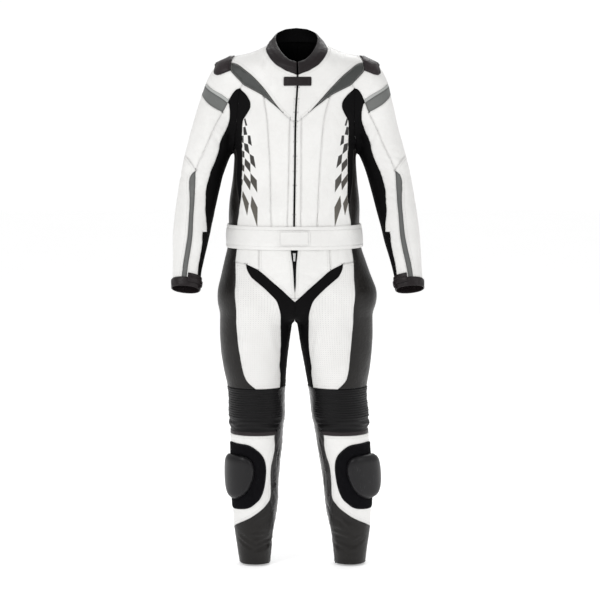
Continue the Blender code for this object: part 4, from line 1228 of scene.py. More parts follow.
def rise_curve() -> Array:
    """The form's line at the middle, from the front waist under the crotch to the back waist.

    Returns:
        Its points, in metres.
    """
    levels = np.linspace(TROUSER_TOP, CROTCH_FAN_HEIGHT, 30)
    angles = np.radians(np.arange(3, 178, 3))
    heights = np.concatenate([levels, np.full(len(angles), CROTCH_FAN_HEIGHT), levels[::-1]]) * MM
    turns = np.concatenate([np.zeros(len(levels)), angles, np.full(len(levels), math.pi)])
    origins = np.column_stack([np.zeros((len(turns), 2)), heights])
    directions = np.column_stack([np.zeros(len(turns)), -np.cos(turns), -np.sin(turns)])
    points = FORM.cast(origins, directions)
    points[:, 0] = 0
    return points


def leg_cutting() -> Cutting:
    """Half the trousers, slit down the inner leg and along the middle of the seat.

    Returns:
        The chart with its seams drawn.
    """
    chart = Leg()
    cutting = Cutting(chart, POINT_SPACING)
    rise = rise_curve()
    crotch = int(np.argmin(rise[:, 2]))
    half_turn = math.pi * chart.radius / MM
    line = chart.chart(rise)
    line[: crotch + 1, 0] = np.abs(line[: crotch + 1, 0])
    line[crotch, 0] = half_turn
    behind = line[crotch:].copy()
    behind[:, 0] = -np.abs(behind[:, 0])
    cutting.draw(line[: crotch + 1], places=rise[: crotch + 1], middle=True)
    cutting.draw(behind, places=rise[crotch:], middle=True)
    low = line[crotch, 1]
    inner = upright_line(half_turn, seam_steps(low, LEG_HEM))
    places = np.vstack([rise[crotch], chart.place(inner[1:])])
    cutting.draw(inner, places=places)
    cutting.draw(inner * [-1, 1], places=places)
    cutting.draw(level_line(seam_steps(-half_turn, half_turn), LEG_HEM))
    cutting.draw(level_line(seam_steps(behind[-1, 0], line[0, 0]), TROUSER_TOP))
    drawn = {name: cutting.seam(rows, name in CLOSED_SEAMS) for name, rows in LEG_SEAMS.items()}
    draw_ribs(cutting, drawn["back"], drawn["shin_inner"])
    back, inner = drawn["back"][::-1], drawn["shin_inner"][::-1]

    def ribbed(rows: Array) -> Array:
        """Whether each point lies on the ribs, which have their own lines.

        Args:
            rows: Points of the chart.

        Returns:
            One truth for each.
        """
        across, height = rows.T
        level = (height > GATHER_END - RIB_CLEAR) & (height < KNEE_TOP)
        beside = across > np.interp(height, back[:, 1], back[:, 0])
        return level & beside & (across < np.interp(height, inner[:, 1], inner[:, 0]))

    cutting.bare.append(ribbed)
    cutting.fill()
    return cutting


def draw_ribs(cutting: Cutting, back: Array, inner: Array) -> None:
    """Lines along each rib of the stretch panel, from seam to seam, close enough to round it.

    Args:
        cutting: The leg's chart, which is drawn on.
        back: The seam behind the ribs.
        inner: The seam on their inner side.
    """
    low = KNEE_TOP - RIB_PITCH * RIB_COUNT
    levels = KNEE_TOP - np.arange(1, RIB_LINES * RIB_COUNT + 1) * RIB_PITCH / RIB_LINES
    levels = np.concatenate([levels, np.arange(low - GATHER_STEP, GATHER_END, -GATHER_STEP)])
    for row, height in enumerate(levels, 1):
        start = np.interp(height, back[::-1, 1], back[::-1, 0])
        end = np.interp(height, inner[::-1, 1], inner[::-1, 0])
        count = math.ceil((end - start) / RIB_STEP)
        shift = 0.5 * (row % 2) / count
        parts = np.unique(np.clip(np.linspace(0, 1, count + 1) + shift, 0, 1))
        cutting.draw(level_line(parts * (end - start) + start, height), hard=False)


@dataclass(frozen=True)
class Crease:
    """One soft trough with raised banks, run along the cloth."""

    path: Array
    depth: float
    width: float

    BANK = 0.5
    TROUGH = 1.35
    BANK_WIDTH = 2.2
    STRENGTH = 1.4
    REACH = 3.5
    # how far from its ends a crease starts, how softly, and how narrow it is there
    END, SOFTNESS, TAPER = 0.02, 0.7, 0.6

    def relief(self, points: Array) -> Array:
        """How far it moves the cloth out at each point, in metres.

        Args:
            points: Places in metres.

        Returns:
            The move at each, out being more than 0.
        """
        width = self.width * MM
        reach = self.REACH * self.BANK_WIDTH * width
        total = np.zeros(len(points))
        low, high = self.path.min(0) - reach, self.path.max(0) + reach
        near = np.flatnonzero(((points > low) & (points < high)).all(1))
        if not len(near):
            return total
        own = points[near]
        best = np.full(len(near), 9.0)
        along = np.zeros(len(near))
        spans = len(self.path) - 1
        for index in range(spans):
            start, step = self.path[index], self.path[index + 1] - self.path[index]
            part = np.clip((own - start) @ step / (step @ step), 0, 1)
            away = np.linalg.norm(own - start - part[:, None] * step, axis=1)
            closer = away < best
            best[closer] = away[closer]
            along[closer] = (index + part[closer]) / spans
        fade = np.sin(math.pi * np.clip(along, self.END, 1 - self.END)) ** self.SOFTNESS
        wide = width * (self.TAPER + (1 - self.TAPER) * fade)
        trough = self.TROUGH * np.exp(-((best / wide) ** 2))
        banks = self.BANK * np.exp(-((best / (self.BANK_WIDTH * wide)) ** 2))
        total[near] = self.STRENGTH * self.depth * MM * fade * (banks - trough)
        return total


@dataclass(frozen=True)
class Cluster:
    """A family of creases that lie side by side, none quite like the next."""

    view: View
    across: float
    height: float
    turn: float  # of the run from upright, towards the middle of the suit at its top
    length: float
    count: int
    step: float
    depth: float
    width: float
    fan: float = 0.0
    bend: float = 0.0
    chart: type[Chart] | None = None

    POINTS = 6
    # how far each crease strays: in degrees, in steps, and as parts of the length
    TURNS, SHIFTS, SLIDES, BOWS = 4, 0.16, 0.12, 0.04
    # the least and the most of what is asked for
    LENGTHS, DEPTHS, WIDTHS = (0.65, 1.15), (0.55, 1.2), (0.8, 1.25)

    def creases(self, dice: np.random.Generator) -> list[Crease]:
        """The family, with uneven lengths, depths and spacing.

        Args:
            dice: The random source, which is used up in order.

        Returns:
            The creases.
        """
        made = []
        for index in range(self.count):
            place = index - (self.count - 1) / 2
            turn = math.radians(self.turn + self.fan * place + dice.normal(0, self.TURNS))
            length = self.length * dice.uniform(*self.LENGTHS)
            shift = self.step * (place + dice.normal(0, self.SHIFTS))
            slide = dice.normal(0, self.SLIDES) * self.length
            run = np.array([-math.sin(turn), math.cos(turn)])
            wide = np.array([math.cos(turn), math.sin(turn)])
            part = np.linspace(-0.5, 0.5, self.POINTS)[:, None]
            bow = self.bend * (1 - 4 * part**2)
            bow = bow + dice.normal(0, self.BOWS) * self.length * (part**2)
            rows = np.array([self.across, self.height]) + wide * shift + run * slide
            rows = rows + run * part * length + wide * bow
            depth = self.depth * dice.uniform(*self.DEPTHS)
            width = self.width * dice.uniform(*self.WIDTHS)
            made.append(Crease(self.path(rows), depth, width))
        return made

    def path(self, rows: Array) -> Array:
        """The rows of across and height, or turn and length, set on the cloth.

        Args:
            rows: The points of one crease.

        Returns:
            Its points on the form.
        """
        if self.view is View.ROUND:
            chart = self.chart()
            turns = np.radians(rows[:, 0]) * chart.radius / MM
            return chart.place(np.column_stack([turns, rows[:, 1]]))
        side = -1 if self.view is View.FRONT else 1
        return FORM.cast(*ray_from(side, rows * MM), inside=False)


# across, height, turn, length, count, step, depth, width, fan, bend
FRONT_CLUSTERS = (
    # yoke beside the collar, and the chest
    (92, 2, -15, 34, 3, 9, 1.3, 4.5, 4, 0),
    (118, -150, 35, 60, 2, 18, 1.0, 8, 6, 4),
    (100, -200, 20, 70, 2, 20, 0.8, 9, 8, 3),
    (42, -210, 4, 90, 2, 22, 0.6, 9, 4, 2),
    # above the belt
    (30, -415, 3, 46, 3, 12, 1.5, 4.5, 3, 0),
    (82, -412, -4, 54, 4, 13, 1.5, 5, 3, 0),
    (128, -408, -8, 56, 3, 12, 1.5, 5, 3, 0),
    (104, -345, 24, 70, 3, 20, 1.2, 8, 10, 4),
    (50, -335, 12, 60, 2, 20, 0.8, 8, 6, 3),
    # armpit
    (150, -212, 52, 60, 4, 13, 1.8, 6, -14, 4),
    (196, -196, -38, 64, 4, 12, 1.6, 5.5, 9, -3),
    (184, -148, -30, 44, 3, 11, 1.1, 5, 8, 0),
    (226, -150, -58, 50, 3, 16, 0.9, 7, 6, 3),
    (214, -62, -40, 46, 2, 14, 0.7, 7, 8, 2),
    # elbow
    (246, -262, 64, 56, 4, 12, 2.2, 5.5, 10, 4),
    (232, -300, 72, 44, 4, 10, 2.0, 4.5, -8, 2),
    (262, -330, 58, 46, 3, 13, 1.6, 6, 8, -3),
    (292, -300, -50, 44, 3, 13, 1.5, 6, -8, 2),
    (246, -360, 70, 40, 4, 12, 1.6, 5, 6, 2),
    (262, -400, 60, 40, 2, 16, 1.0, 6, 6, 2),
    (300, -380, -30, 60, 2, 16, 0.8, 7, 6, 2),
    # above the cuff
    (252, -470, 66, 38, 3, 12, 1.4, 5, 8, 2),
    (270, -530, 76, 44, 3, 12, 1.3, 5, 6, 2),
    (284, -568, 82, 40, 4, 9, 1.3, 4, 4, 2),
    # hips and crotch
    (40, -588, 56, 62, 4, 12, 1.6, 5.5, 8, 4),
    (86, -570, 60, 54, 3, 12, 1.2, 5.5, 5, 3),
    (60, -530, 20, 60, 2, 18, 0.9, 7, 8, 2),
    (128, -520, 10, 56, 2, 18, 0.9, 7, 6, 2),
    (66, -660, -28, 80, 4, 14, 1.5, 6.5, 9, 4),
    (112, -625, 36, 70, 3, 18, 1.3, 8, 8, 4),
    (140, -640, 12, 80, 2, 18, 1.0, 8, 6, 3),
    # thigh
    (60, -740, -10, 96, 2, 16, 0.9, 7, 6, 3),
    (98, -760, 14, 110, 3, 22, 0.8, 9, 8, 4),
    (132, -780, 22, 80, 2, 18, 0.9, 8, 6, 3),
    (70, -850, 50, 50, 3, 12, 0.9, 5.5, 8, 2),
    (112, -858, 74, 56, 2, 11, 0.8, 5, 6, 2),
    # shin and ankle
    (66, -1060, 12, 70, 3, 9, 1.2, 4, 4, 2),
    (74, -1150, 4, 110, 3, 9, 1.1, 4, 4, 3),
    (92, -1230, 24, 70, 3, 11, 1.1, 5, 6, 3),
    (120, -1250, 50, 60, 3, 13, 1.8, 5.5, 6, 3),
    (112, -1300, 76, 66, 4, 15, 2.5, 5.5, 5, 3),
    (146, -1300, -66, 56, 3, 12, 1.9, 5, 6, 2),
    (124, -1346, 84, 60, 2, 9, 1.1, 4, 4, 1),
    (150, -1230, 20, 60, 2, 14, 0.8, 6, 6, 2),
    # beside the collar
    (96, 14, 24, 66, 3, 13, 1.9, 6.5, 10, 4),
)
BACK_CLUSTERS = (
    # shoulder blades and armholes
    (110, -110, -34, 90, 3, 20, 1.2, 9, 8, 5),
    (140, -190, -52, 70, 4, 14, 1.6, 6.5, 10, 4),
    (60, -190, -12, 90, 3, 22, 0.9, 9, 8, 4),
    (190, -150, 38, 60, 3, 14, 1.2, 6, 8, 3),
    (214, -214, 58, 56, 4, 12, 1.6, 5.5, 9, 4),
    # waist
    (40, -395, 82, 70, 4, 14, 1.8, 6, 4, 4),
    (104, -390, 76, 80, 4, 14, 1.8, 6.5, 5, 4),
    (90, -425, 6, 46, 4, 13, 1.4, 5, 3, 0),
    (40, -425, 4, 44, 3, 13, 1.4, 5, 3, 0),
    (80, -310, 20, 100, 3, 22, 1.0, 9, 8, 5),
    # elbow
    (262, -330, 80, 66, 5, 14, 1.6, 6, 5, 4),
    (276, -420, 74, 50, 3, 15, 1.1, 6, 5, 3),
    (288, -560, 84, 46, 4, 9, 1.3, 4, 4, 2),
    # seat, thigh and behind the knee
    (60, -560, 30, 90, 3, 20, 1.2, 8, 8, 5),
    (84, -668, 74, 100, 4, 15, 2.2, 6.5, 5, 6),
    (120, -710, 62, 90, 3, 16, 1.6, 7, 6, 5),
    (90, -800, 20, 100, 3, 20, 1.0, 9, 8, 5),
    (112, -920, 84, 90, 5, 13, 2.4, 5.5, 3, 4),
    (112, -985, 88, 90, 5, 12, 2.4, 5, 3, -4),
    (118, -1050, 78, 70, 3, 14, 1.4, 6, 4, 4),
    (120, -1170, 12, 120, 3, 18, 1.0, 8, 6, 4),
    (126, -1290, 72, 70, 4, 13, 1.5, 5.5, 5, 4),
    (128, -1346, 86, 64, 2, 9, 1.1, 4, 4, 1),
)
# view, across, height, turn, length, depth, width: across the middle of the suit, the same on
# both sides
MIDDLE_CREASES = (
    (View.BACK, 0, -398, 90, 120, 1.8, 7),
    (View.BACK, 0, -372, 90, 90, 1.3, 6),
    (View.BACK, 0, -346, 90, 110, 1.1, 7),
    (View.BACK, 0, -630, 90, 70, 1.5, 7),
    (View.BACK, 0, -60, 90, 80, 1.0, 8),
)


class Drape:
    """The creases, the slow waves and the pinched seams of one side of the suit."""

    CENTRE_FADE = 20 * MM
    WAVES = 9
    WAVE = 0.32
    PUCKER = 0.42
    PUCKER_REACH = 6.0
    SEEDS = {Side.LEFT: 31, Side.RIGHT: 57}
    WAVE_LENGTHS, RIPPLE_LENGTHS = (38, 110), (11, 20)
    RIPPLES = 8
    MIDDLE_POINTS = 8

    def __init__(self, side: Side) -> None:
        """Lays out the side's own creases.

        Args:
            side: The wearer's side.
        """
        dice = np.random.default_rng(self.SEEDS[side])
        self.creases: list[Crease] = []
        for view, rows in ((View.FRONT, FRONT_CLUSTERS), (View.BACK, BACK_CLUSTERS)):
            for row in rows:
                self.creases += Cluster(view, *row).creases(dice)
        self.middle = []
        for view, across, height, turn, length, depth, width in MIDDLE_CREASES:
            cluster = Cluster(view, across, height, turn, length, 1, 1, depth, width)
            part = np.linspace(-0.5, 0.5, self.MIDDLE_POINTS) * length
            self.middle.append(Crease(cluster.path(level_line(part, height)), depth, width))
        self.waves = self.sines(dice, self.WAVES, self.WAVE_LENGTHS)
        self.phases = dice.uniform(0, 2 * math.pi, self.WAVES)
        self.ripples = self.sines(dice, self.RIPPLES, self.RIPPLE_LENGTHS)

    @staticmethod
    def sines(dice: np.random.Generator, count: int, lengths: tuple[float, float]) -> Array:
        """Sine waves that run every way, with their lengths between these, in millimetres.

        Args:
            dice: The random source.
            count: How many waves.
            lengths: Their least and greatest lengths.

        Returns:
            One row for each wave.
        """
        heading = unit(dice.normal(size=(count, 3)))
        return heading / dice.uniform(*lengths, count)[:, None] / MM * 2 * math.pi

    def relief(self, points: Array) -> Array:
        """How far the cloth stands out from the form at each point, in metres.

        Args:
            points: Places in metres.

        Returns:
            The height at each.
        """
        total = sum(crease.relief(points) for crease in self.creases)
        waves = np.sin(points @ self.waves.T + self.phases).mean(1) * 3
        total = total + waves * self.WAVE * MM
        total *= smooth_step(0, self.CENTRE_FADE, np.abs(points[:, 0]))
        mirrored = np.column_stack([np.abs(points[:, 0]), points[:, 1:]])
        return total + sum(crease.relief(mirrored) for crease in self.middle)

    def pucker(self, points: Array, rim: Array) -> Array:
        """The small gathers beside a seam, by each point's distance to it in millimetres.

        Args:
            points: Places in metres.
            rim: Each point's distance to the seam, in millimetres.

        Returns:
            The height at each, in metres.
        """
        ripple = np.sin(points @ self.ripples.T).mean(1) * 2.2
        fade = np.exp(-((rim / self.PUCKER_REACH) ** 2))
        fade = fade * smooth_step(0, self.CENTRE_FADE, np.abs(points[:, 0]))
        return self.PUCKER * MM * ripple * fade


def math_method(operation: str, swapped: bool = False) -> Callable[..., "Wire"]:
    """Makes a method that adds a Math node.

    Args:
        operation: What the node works out.
        swapped: Whether the other value comes first.

    Returns:
        The method.
    """

    def method(self: "Wire", *other: "Wire | float") -> "Wire":
        """Works out a value.

        Args:
            other: The other values.

        Returns:
            The value.
        """
        values = (*other, self) if swapped else (self, *other)
        made = self.paint.node("ShaderNodeMath", {"operation": operation}, dict(enumerate(values)))
        return Wire(self.paint, made.outputs[0])

    return method


class Wire:
    """A shader value that takes part in sums written as Python expressions."""

    def __init__(self, paint: "Paint", socket: bpy.types.NodeSocket) -> None:
        """Wraps a node's output."""
        self.paint = paint
        self.socket = socket

    __add__ = __radd__ = math_method("ADD")
    __sub__, __rsub__ = math_method("SUBTRACT"), math_method("SUBTRACT", swapped=True)
    __mul__ = __rmul__ = math_method("MULTIPLY")
    __pow__ = math_method("POWER")
    __abs__ = math_method("ABSOLUTE")
    wave = math_method("SINE")
    most = math_method("MAXIMUM")
    least = math_method("MINIMUM")

    def ramp(self, start: float, end: float) -> "Wire":
        """0 at start and 1 at end, held beyond them.

        Args:
            start: The value that gives 0.
            end: The value that gives 1.

        Returns:
            The value.
        """
        sockets = {0: self, 1: start, 2: end, 3: 0.0, 4: 1.0}
        made = self.paint.node("ShaderNodeMapRange", {"clamp": True}, sockets)
        return Wire(self.paint, made.outputs[0])


Colour = tuple[float, float, float]
WHITE: tuple[Colour, Colour] = ((0.84, 0.835, 0.82), (0.70, 0.69, 0.675))


def tinted(colour: Colour, times: float, more: float = 0.0) -> Colour:
    """A colour made darker or paler."""
    return tuple(part * times + more for part in colour)


class Paint:
    """One material being made, with its shader."""

    def __init__(self, name: str) -> None:
        """Starts a material with a Principled shader.

        Args:
            name: The material's name.
        """
        self.material = bpy.data.materials.new(name)
        self.material.use_nodes = True
        self.tree = self.material.node_tree
        self.shader = self.tree.nodes["Principled BSDF"]

    def node(
        self, kind: str, settings: dict | None = None, sockets: dict | None = None
    ) -> bpy.types.Node:
        """Adds a node.

        Args:
            kind: The node's type.
            settings: Its own settings, set first.
            sockets: Values or wires for its inputs, by name or index.

        Returns:
            The node.
        """
        made = self.tree.nodes.new(kind)
        for key, value in (settings or {}).items():
            setattr(made, key, value)
        for key, value in (sockets or {}).items():
            self.feed(made.inputs[key], value)
        return made

    def feed(self, socket: bpy.types.NodeSocket, value: object) -> None:
        """Links a wire to a socket, or sets its value.

        Args:
            socket: The input.
            value: A wire, or what the socket takes.
        """
        if isinstance(value, Wire):
            self.tree.links.new(value.socket, socket)
        else:
            socket.default_value = value

    def place(self) -> Wire:
        """The point's place on the suit, in metres."""
        return Wire(self, self.node("ShaderNodeTexCoord").outputs["Object"])

    def chart(self) -> Wire:
        """The point's place on the flat cut, in metres."""
        return Wire(self, self.node("ShaderNodeUVMap", {"uv_map": "chart"}).outputs["UV"])

    def axis(self, vector: Wire, name: str) -> Wire:
        """One axis of a vector."""
        return Wire(self, self.node("ShaderNodeSeparateXYZ", None, {0: vector}).outputs[name])

    def stretched(self, vector: Wire, scale: tuple[float, float, float]) -> Wire:
        """A vector drawn out along its axes."""
        made = self.node("ShaderNodeMapping", None, {"Vector": vector, "Scale": scale})
        return Wire(self, made.outputs[0])

    def noise(
        self, scale: float, detail: float = 3, vector: Wire | None = None, twist: float = 0
    ) -> Wire:
        """A soft random value round one half.

        Args:
            scale: Its size, in waves to the metre.
            detail: How many finer layers it has.
            vector: Where it is read, the place on the suit unless given.
            twist: How much it is warped.

        Returns:
            The value.
        """
        sockets = {"Scale": scale, "Detail": detail, "Distortion": twist}
        sockets["Vector"] = vector or self.place()
        return Wire(self, self.node("ShaderNodeTexNoise", None, sockets).outputs[0])

    def cells(self, scale: float, flat: Wire | None = None) -> Wire:
        """The distance to the nearest of many points.

        Args:
            scale: How many points there are to the metre.
            flat: A chart to set them on in even rows. They are scattered in space without one.

        Returns:
            The distance, in steps between the points.
        """
        sockets = {"Scale": scale, "Randomness": 0.0 if flat else 1.0}
        sockets["Vector"] = flat or self.place()
        settings = {"voronoi_dimensions": "2D" if flat else "3D"}
        return Wire(self, self.node("ShaderNodeTexVoronoi", settings, sockets).outputs["Distance"])

    def rim(self) -> Wire:
        """The distance to the panel's edge, in millimetres."""
        made = self.node("ShaderNodeAttribute", {"attribute_name": "rim"})
        return Wire(self, made.outputs["Fac"])

    def mix(self, factor: Wire | float, first: "Wire | Colour", second: "Wire | Colour") -> Wire:
        """A colour between two.

        Args:
            factor: How much of the second.
            first: A colour.
            second: Another.

        Returns:
            The colour.
        """
        sockets = {0: factor, 6: self.solid(first), 7: self.solid(second)}
        made = self.node("ShaderNodeMix", {"data_type": "RGBA"}, sockets)
        return Wire(self, made.outputs[2])

    @staticmethod
    def solid(colour: "Wire | Colour") -> object:
        """A colour as a socket takes it."""
        return colour if isinstance(colour, Wire) else (*colour, 1.0)

    def finish(
        self, colour: Wire, roughness: Wire | float, height: Wire | None = None, **fixed: float
    ) -> bpy.types.Material:
        """Feeds the shader.

        Args:
            colour: The surface's colour.
            roughness: Its roughness.
            height: How far it stands out, in millimetres.
            **fixed: Values of the shader's own sockets, with spaces as underscores.

        Returns:
            The finished material.
        """
        self.feed(self.shader.inputs["Base Color"], colour)
        self.feed(self.shader.inputs["Roughness"], roughness)
        if height is not None:
            sockets = {"Strength": 1.0, "Distance": MM, "Height": height}
            bump = self.node("ShaderNodeBump", None, sockets)
            self.feed(self.shader.inputs["Normal"], Wire(self, bump.outputs[0]))
        for key, value in fixed.items():
            self.shader.inputs[key.replace("_", " ")].default_value = value
        return self.material


@dataclass(frozen=True)
class Leather:
    """Cowhide with a fine grain, soft creases in its face and painted shade in its seams."""

    colour: Colour
    shade: Colour
    roughness: float = 0.42
    wrinkle: float = 0.28
    grain: float = 0.05
    slot: str = "white_leather"
    holes: float = 0.0
    checks: bool = False
    gloss: float = 0.5
    # how much painted shade darkens the seam's groove
    seam_shade: float = 0.45
    # how much darker the patches near the edge are
    dirt: float = 0.22

    # the scale and detail of each noise
    CLOUD, FINE, PATCHES, SLACK, SHEEN = (9, 4), (60, 6), (26, 4), (22, 3), (40, 4)
    PORES, TWIST = 820, 0.6
    # from where to where each of them shows
    CLOUD_SHOWS, PATCHES_SHOW, PORES_SHOW = (0.35, 0.75), (0.35, 0.8), (0.0, 0.7)
    RIDGE_SHOWS, RIDGE_RISES = (0.86, 1.0), (0.7, 1.0)
    # distances from the panel's edge, in millimetres
    SEAM_FADE, DIRT_FADE, HOLES_START = (0.2, 1.5), (0.5, 7.0), (9.0, 9.4)
    # how much of each is seen
    CLOUD_SHARE, RIDGE_SHARE, SLACK_SHARE, SHEEN_SHARE = 0.5, 0.12, 0.7, 0.22
    SEAM_TINT, DIRT_TINT = 0.4, 0.6
    HOLE_EDGE, HOLE_SHARE, HOLE_DEPTH = (0.1, 0.16), 0.4, 0.35
    HOLE_TONE = (0.05, 0.05, 0.05)
    INK = ((0.010, 0.009, 0.009), (0.125, 0.112, 0.092))
    INK_FADE = (-0.22, -0.43)
    INK_CLOUD = (0.4, 0.6)
    # the printed checks' corners, in millimetres from the middle and up
    CHECKS = (
        ((137, -158), (134, -156), (129, -174), (133, -175)),
        ((139, -180), (134, -178), (129, -198), (138, -200)),
        ((127, -201), (121, -201), (117, -227), (126, -221)),
        ((146, -202), (139, -202), (139, -221), (146, -218)),
        ((137, -221), (127, -225), (123, -250), (136, -239)),
        ((146, -240), (137, -244), (137, -260), (146, -257)),
        ((122, -250), (112, -256), (107, -286), (120, -273)),
        ((135, -262), (121, -276), (121, -298), (136, -279)),
        ((146, -275), (137, -282), (138, -297), (146, -291)),
        ((137, -303), (120, -325), (122, -345), (139, -318)),
        ((120, -301), (104, -319), (103, -350), (120, -323)),
        ((146, -315), (141, -320), (143, -333), (146, -333)),
        ((141, -349), (125, -381), (130, -412), (143, -363)),
        ((117, -361), (102, -391), (103, -441), (120, -388)),
    )

    def material(self, name: str) -> bpy.types.Material:
        """Makes the finish.

        Args:
            name: The material's name.

        Returns:
            The material.
        """
        paint = Paint(name)
        cloud = paint.noise(*self.CLOUD)
        fine = paint.noise(*self.FINE, twist=self.TWIST)
        ridge = 1 - abs(fine * 2 - 1)
        tone = paint.mix(cloud.ramp(*self.CLOUD_SHOWS) * self.CLOUD_SHARE, self.colour, self.shade)
        tone = paint.mix(ridge.ramp(*self.RIDGE_SHOWS) * self.RIDGE_SHARE, tone, self.shade)
        rim = paint.rim()
        # painted shade in the seam's groove, fading out within a millimetre and a half of the edge
        edge = 1 - rim.ramp(*self.SEAM_FADE)
        # darker in patches within a few millimetres of the edge
        patches = paint.noise(*self.PATCHES).ramp(*self.PATCHES_SHOW)
        dirt = (1 - rim.ramp(*self.DIRT_FADE)) * patches
        # the seam's painted shade
        tone = paint.mix(edge * self.seam_shade, tone, tinted(self.shade, self.SEAM_TINT))
        tone = paint.mix(dirt * self.dirt, tone, tinted(self.shade, self.DIRT_TINT))
        height = paint.cells(self.PORES).ramp(*self.PORES_SHOW) * self.grain
        height = height + ridge.ramp(*self.RIDGE_RISES) ** 2 * -self.wrinkle
        height = height + paint.noise(*self.SLACK) * self.SLACK_SHARE * self.wrinkle
        if self.holes:
            dots = paint.cells(1000 / self.holes, paint.chart())
            hole = (1 - dots.ramp(*self.HOLE_EDGE)) * rim.ramp(*self.HOLES_START)
            tone = paint.mix(hole * self.HOLE_SHARE, tone, self.HOLE_TONE)
            height = height - hole * self.HOLE_DEPTH
        if self.checks:
            low = paint.axis(paint.place(), "Z").ramp(*self.INK_FADE)
            share, least = self.INK_CLOUD
            ink = paint.mix(low * (cloud * share + least), *self.INK)
            tone = paint.mix(self.checked(paint), tone, ink)
        roughness = paint.noise(*self.SHEEN) * self.SHEEN_SHARE
        roughness = roughness + (self.roughness - self.SHEEN_SHARE / 2)
        return paint.finish(tone, roughness, height, Specular_IOR_Level=self.gloss)

    def checked(self, paint: Paint) -> Wire:
        """1 on the printed checks.

        Args:
            paint: The material being made.

        Returns:
            1 inside any check and 0 outside.
        """
        wobble = paint.noise(120, 2) * 1.0 - 0.5
        across = abs(paint.axis(paint.place(), "X")) * 1000 + wobble
        height = paint.axis(paint.place(), "Z") * 1000 + wobble
        spot = paint.node("ShaderNodeCombineXYZ", None, {0: across, 1: height, 2: 1.0})
        spot = Wire(paint, spot.outputs[0])
        nearest = None
        for corners in np.array(self.CHECKS, float):
            away = None
            for start, end in zip(corners, np.roll(corners, -1, axis=0)):
                step = end - start
                normal = np.array([step[1], -step[0]]) / np.linalg.norm(step)
                normal *= -np.sign(normal @ (corners.mean(0) - start))
                sockets = {0: spot, 1: (*normal, -(normal @ start))}
                made = paint.node("ShaderNodeVectorMath", {"operation": "DOT_PRODUCT"}, sockets)
                side = Wire(paint, made.outputs["Value"])
                away = side if away is None else away.most(side)
            nearest = away if nearest is None else nearest.least(away)
        return 1 - nearest.ramp(0.1, 0.8)


@dataclass(frozen=True)
class Knit:
    """Dense stretch cloth, ribbed along its length, with a painted highlight on its ribs."""

    colour: Colour
    slot: str = "black_stretch"
    pitch: float = 1.5
    gloss: float = 0.07
    roughness: float = 0.62

    # the loops' length as a part of the ribs' pitch, and their slant
    LOOP_LENGTH, SLANT = 0.8, 1.4
    # the loops' rise over their ribs' least height
    LOOP_RISE = (0.25, 0.75)
    CLOUD, SLACK = (30, 4), (70, 3)
    # the painted highlight on the raised ribs: the colour scaled and raised by these, and how much
    # of it shows
    PALE = (2.2, 0.003)
    PALE_SHARE, RIB_DEPTH, SLACK_DEPTH, CLOUD_DULL = 0.6, 0.16, 0.25, 0.2

    def material(self, name: str) -> bpy.types.Material:
        """Makes the finish.

        Args:
            name: The material's name.

        Returns:
            The material.
        """
        paint = Paint(name)
        chart = paint.chart()
        across = paint.axis(chart, "X") * (2000 * math.pi / self.pitch)
        along = paint.axis(chart, "Y") * (2000 * math.pi / (self.pitch * self.LOOP_LENGTH))
        rise, least = self.LOOP_RISE
        loops = (along + across.wave() * self.SLANT).wave() * rise + least
        rib = (across.wave() * 0.5 + 0.5) * loops
        cloud = paint.noise(*self.CLOUD)
        # painted highlight: the raised ribs are painted paler
        pale = tinted(self.colour, *self.PALE)
        tone = paint.mix(rib * self.PALE_SHARE * cloud, self.colour, pale)
        height = rib * self.RIB_DEPTH + paint.noise(*self.SLACK) * self.SLACK_DEPTH
        roughness = cloud * self.CLOUD_DULL + self.roughness
        return paint.finish(tone, roughness, height, Specular_IOR_Level=self.gloss)


@dataclass(frozen=True)
class Pile:
    """Hook-and-loop pile: a mat of tiny loops, their tops painted paler as sheen."""

    colour: Colour
    slot: str = "loop_pile"
    gloss: float = 0.06
    roughness: float = 0.95

    LOOPS, MATTED = 650, (110, 5)
    # the painted sheen on the loops' raised tops: the colour scaled and raised by these, and where
    # it fades
    PALE = (2.6, 0.004)
    PALE_EDGE, LOOP_EDGE = (0.1, 0.7), (0.0, 0.7)
    LOOP_DEPTH, MAT_DEPTH = 0.35, 0.5

    def material(self, name: str) -> bpy.types.Material:
        """Makes the finish.

        Args:
            name: The material's name.

        Returns:
            The material.
        """
        paint = Paint(name)
        loops = paint.cells(self.LOOPS)
        matted = paint.noise(*self.MATTED)
        # painted sheen: paler on the raised middle of each loop
        pale = tinted(self.colour, *self.PALE)
        tone = paint.mix(loops.ramp(*self.PALE_EDGE) * matted, pale, self.colour)
        height = (1 - loops.ramp(*self.LOOP_EDGE)) * self.LOOP_DEPTH + matted * self.MAT_DEPTH
        return paint.finish(tone, self.roughness, height, Specular_IOR_Level=self.gloss)


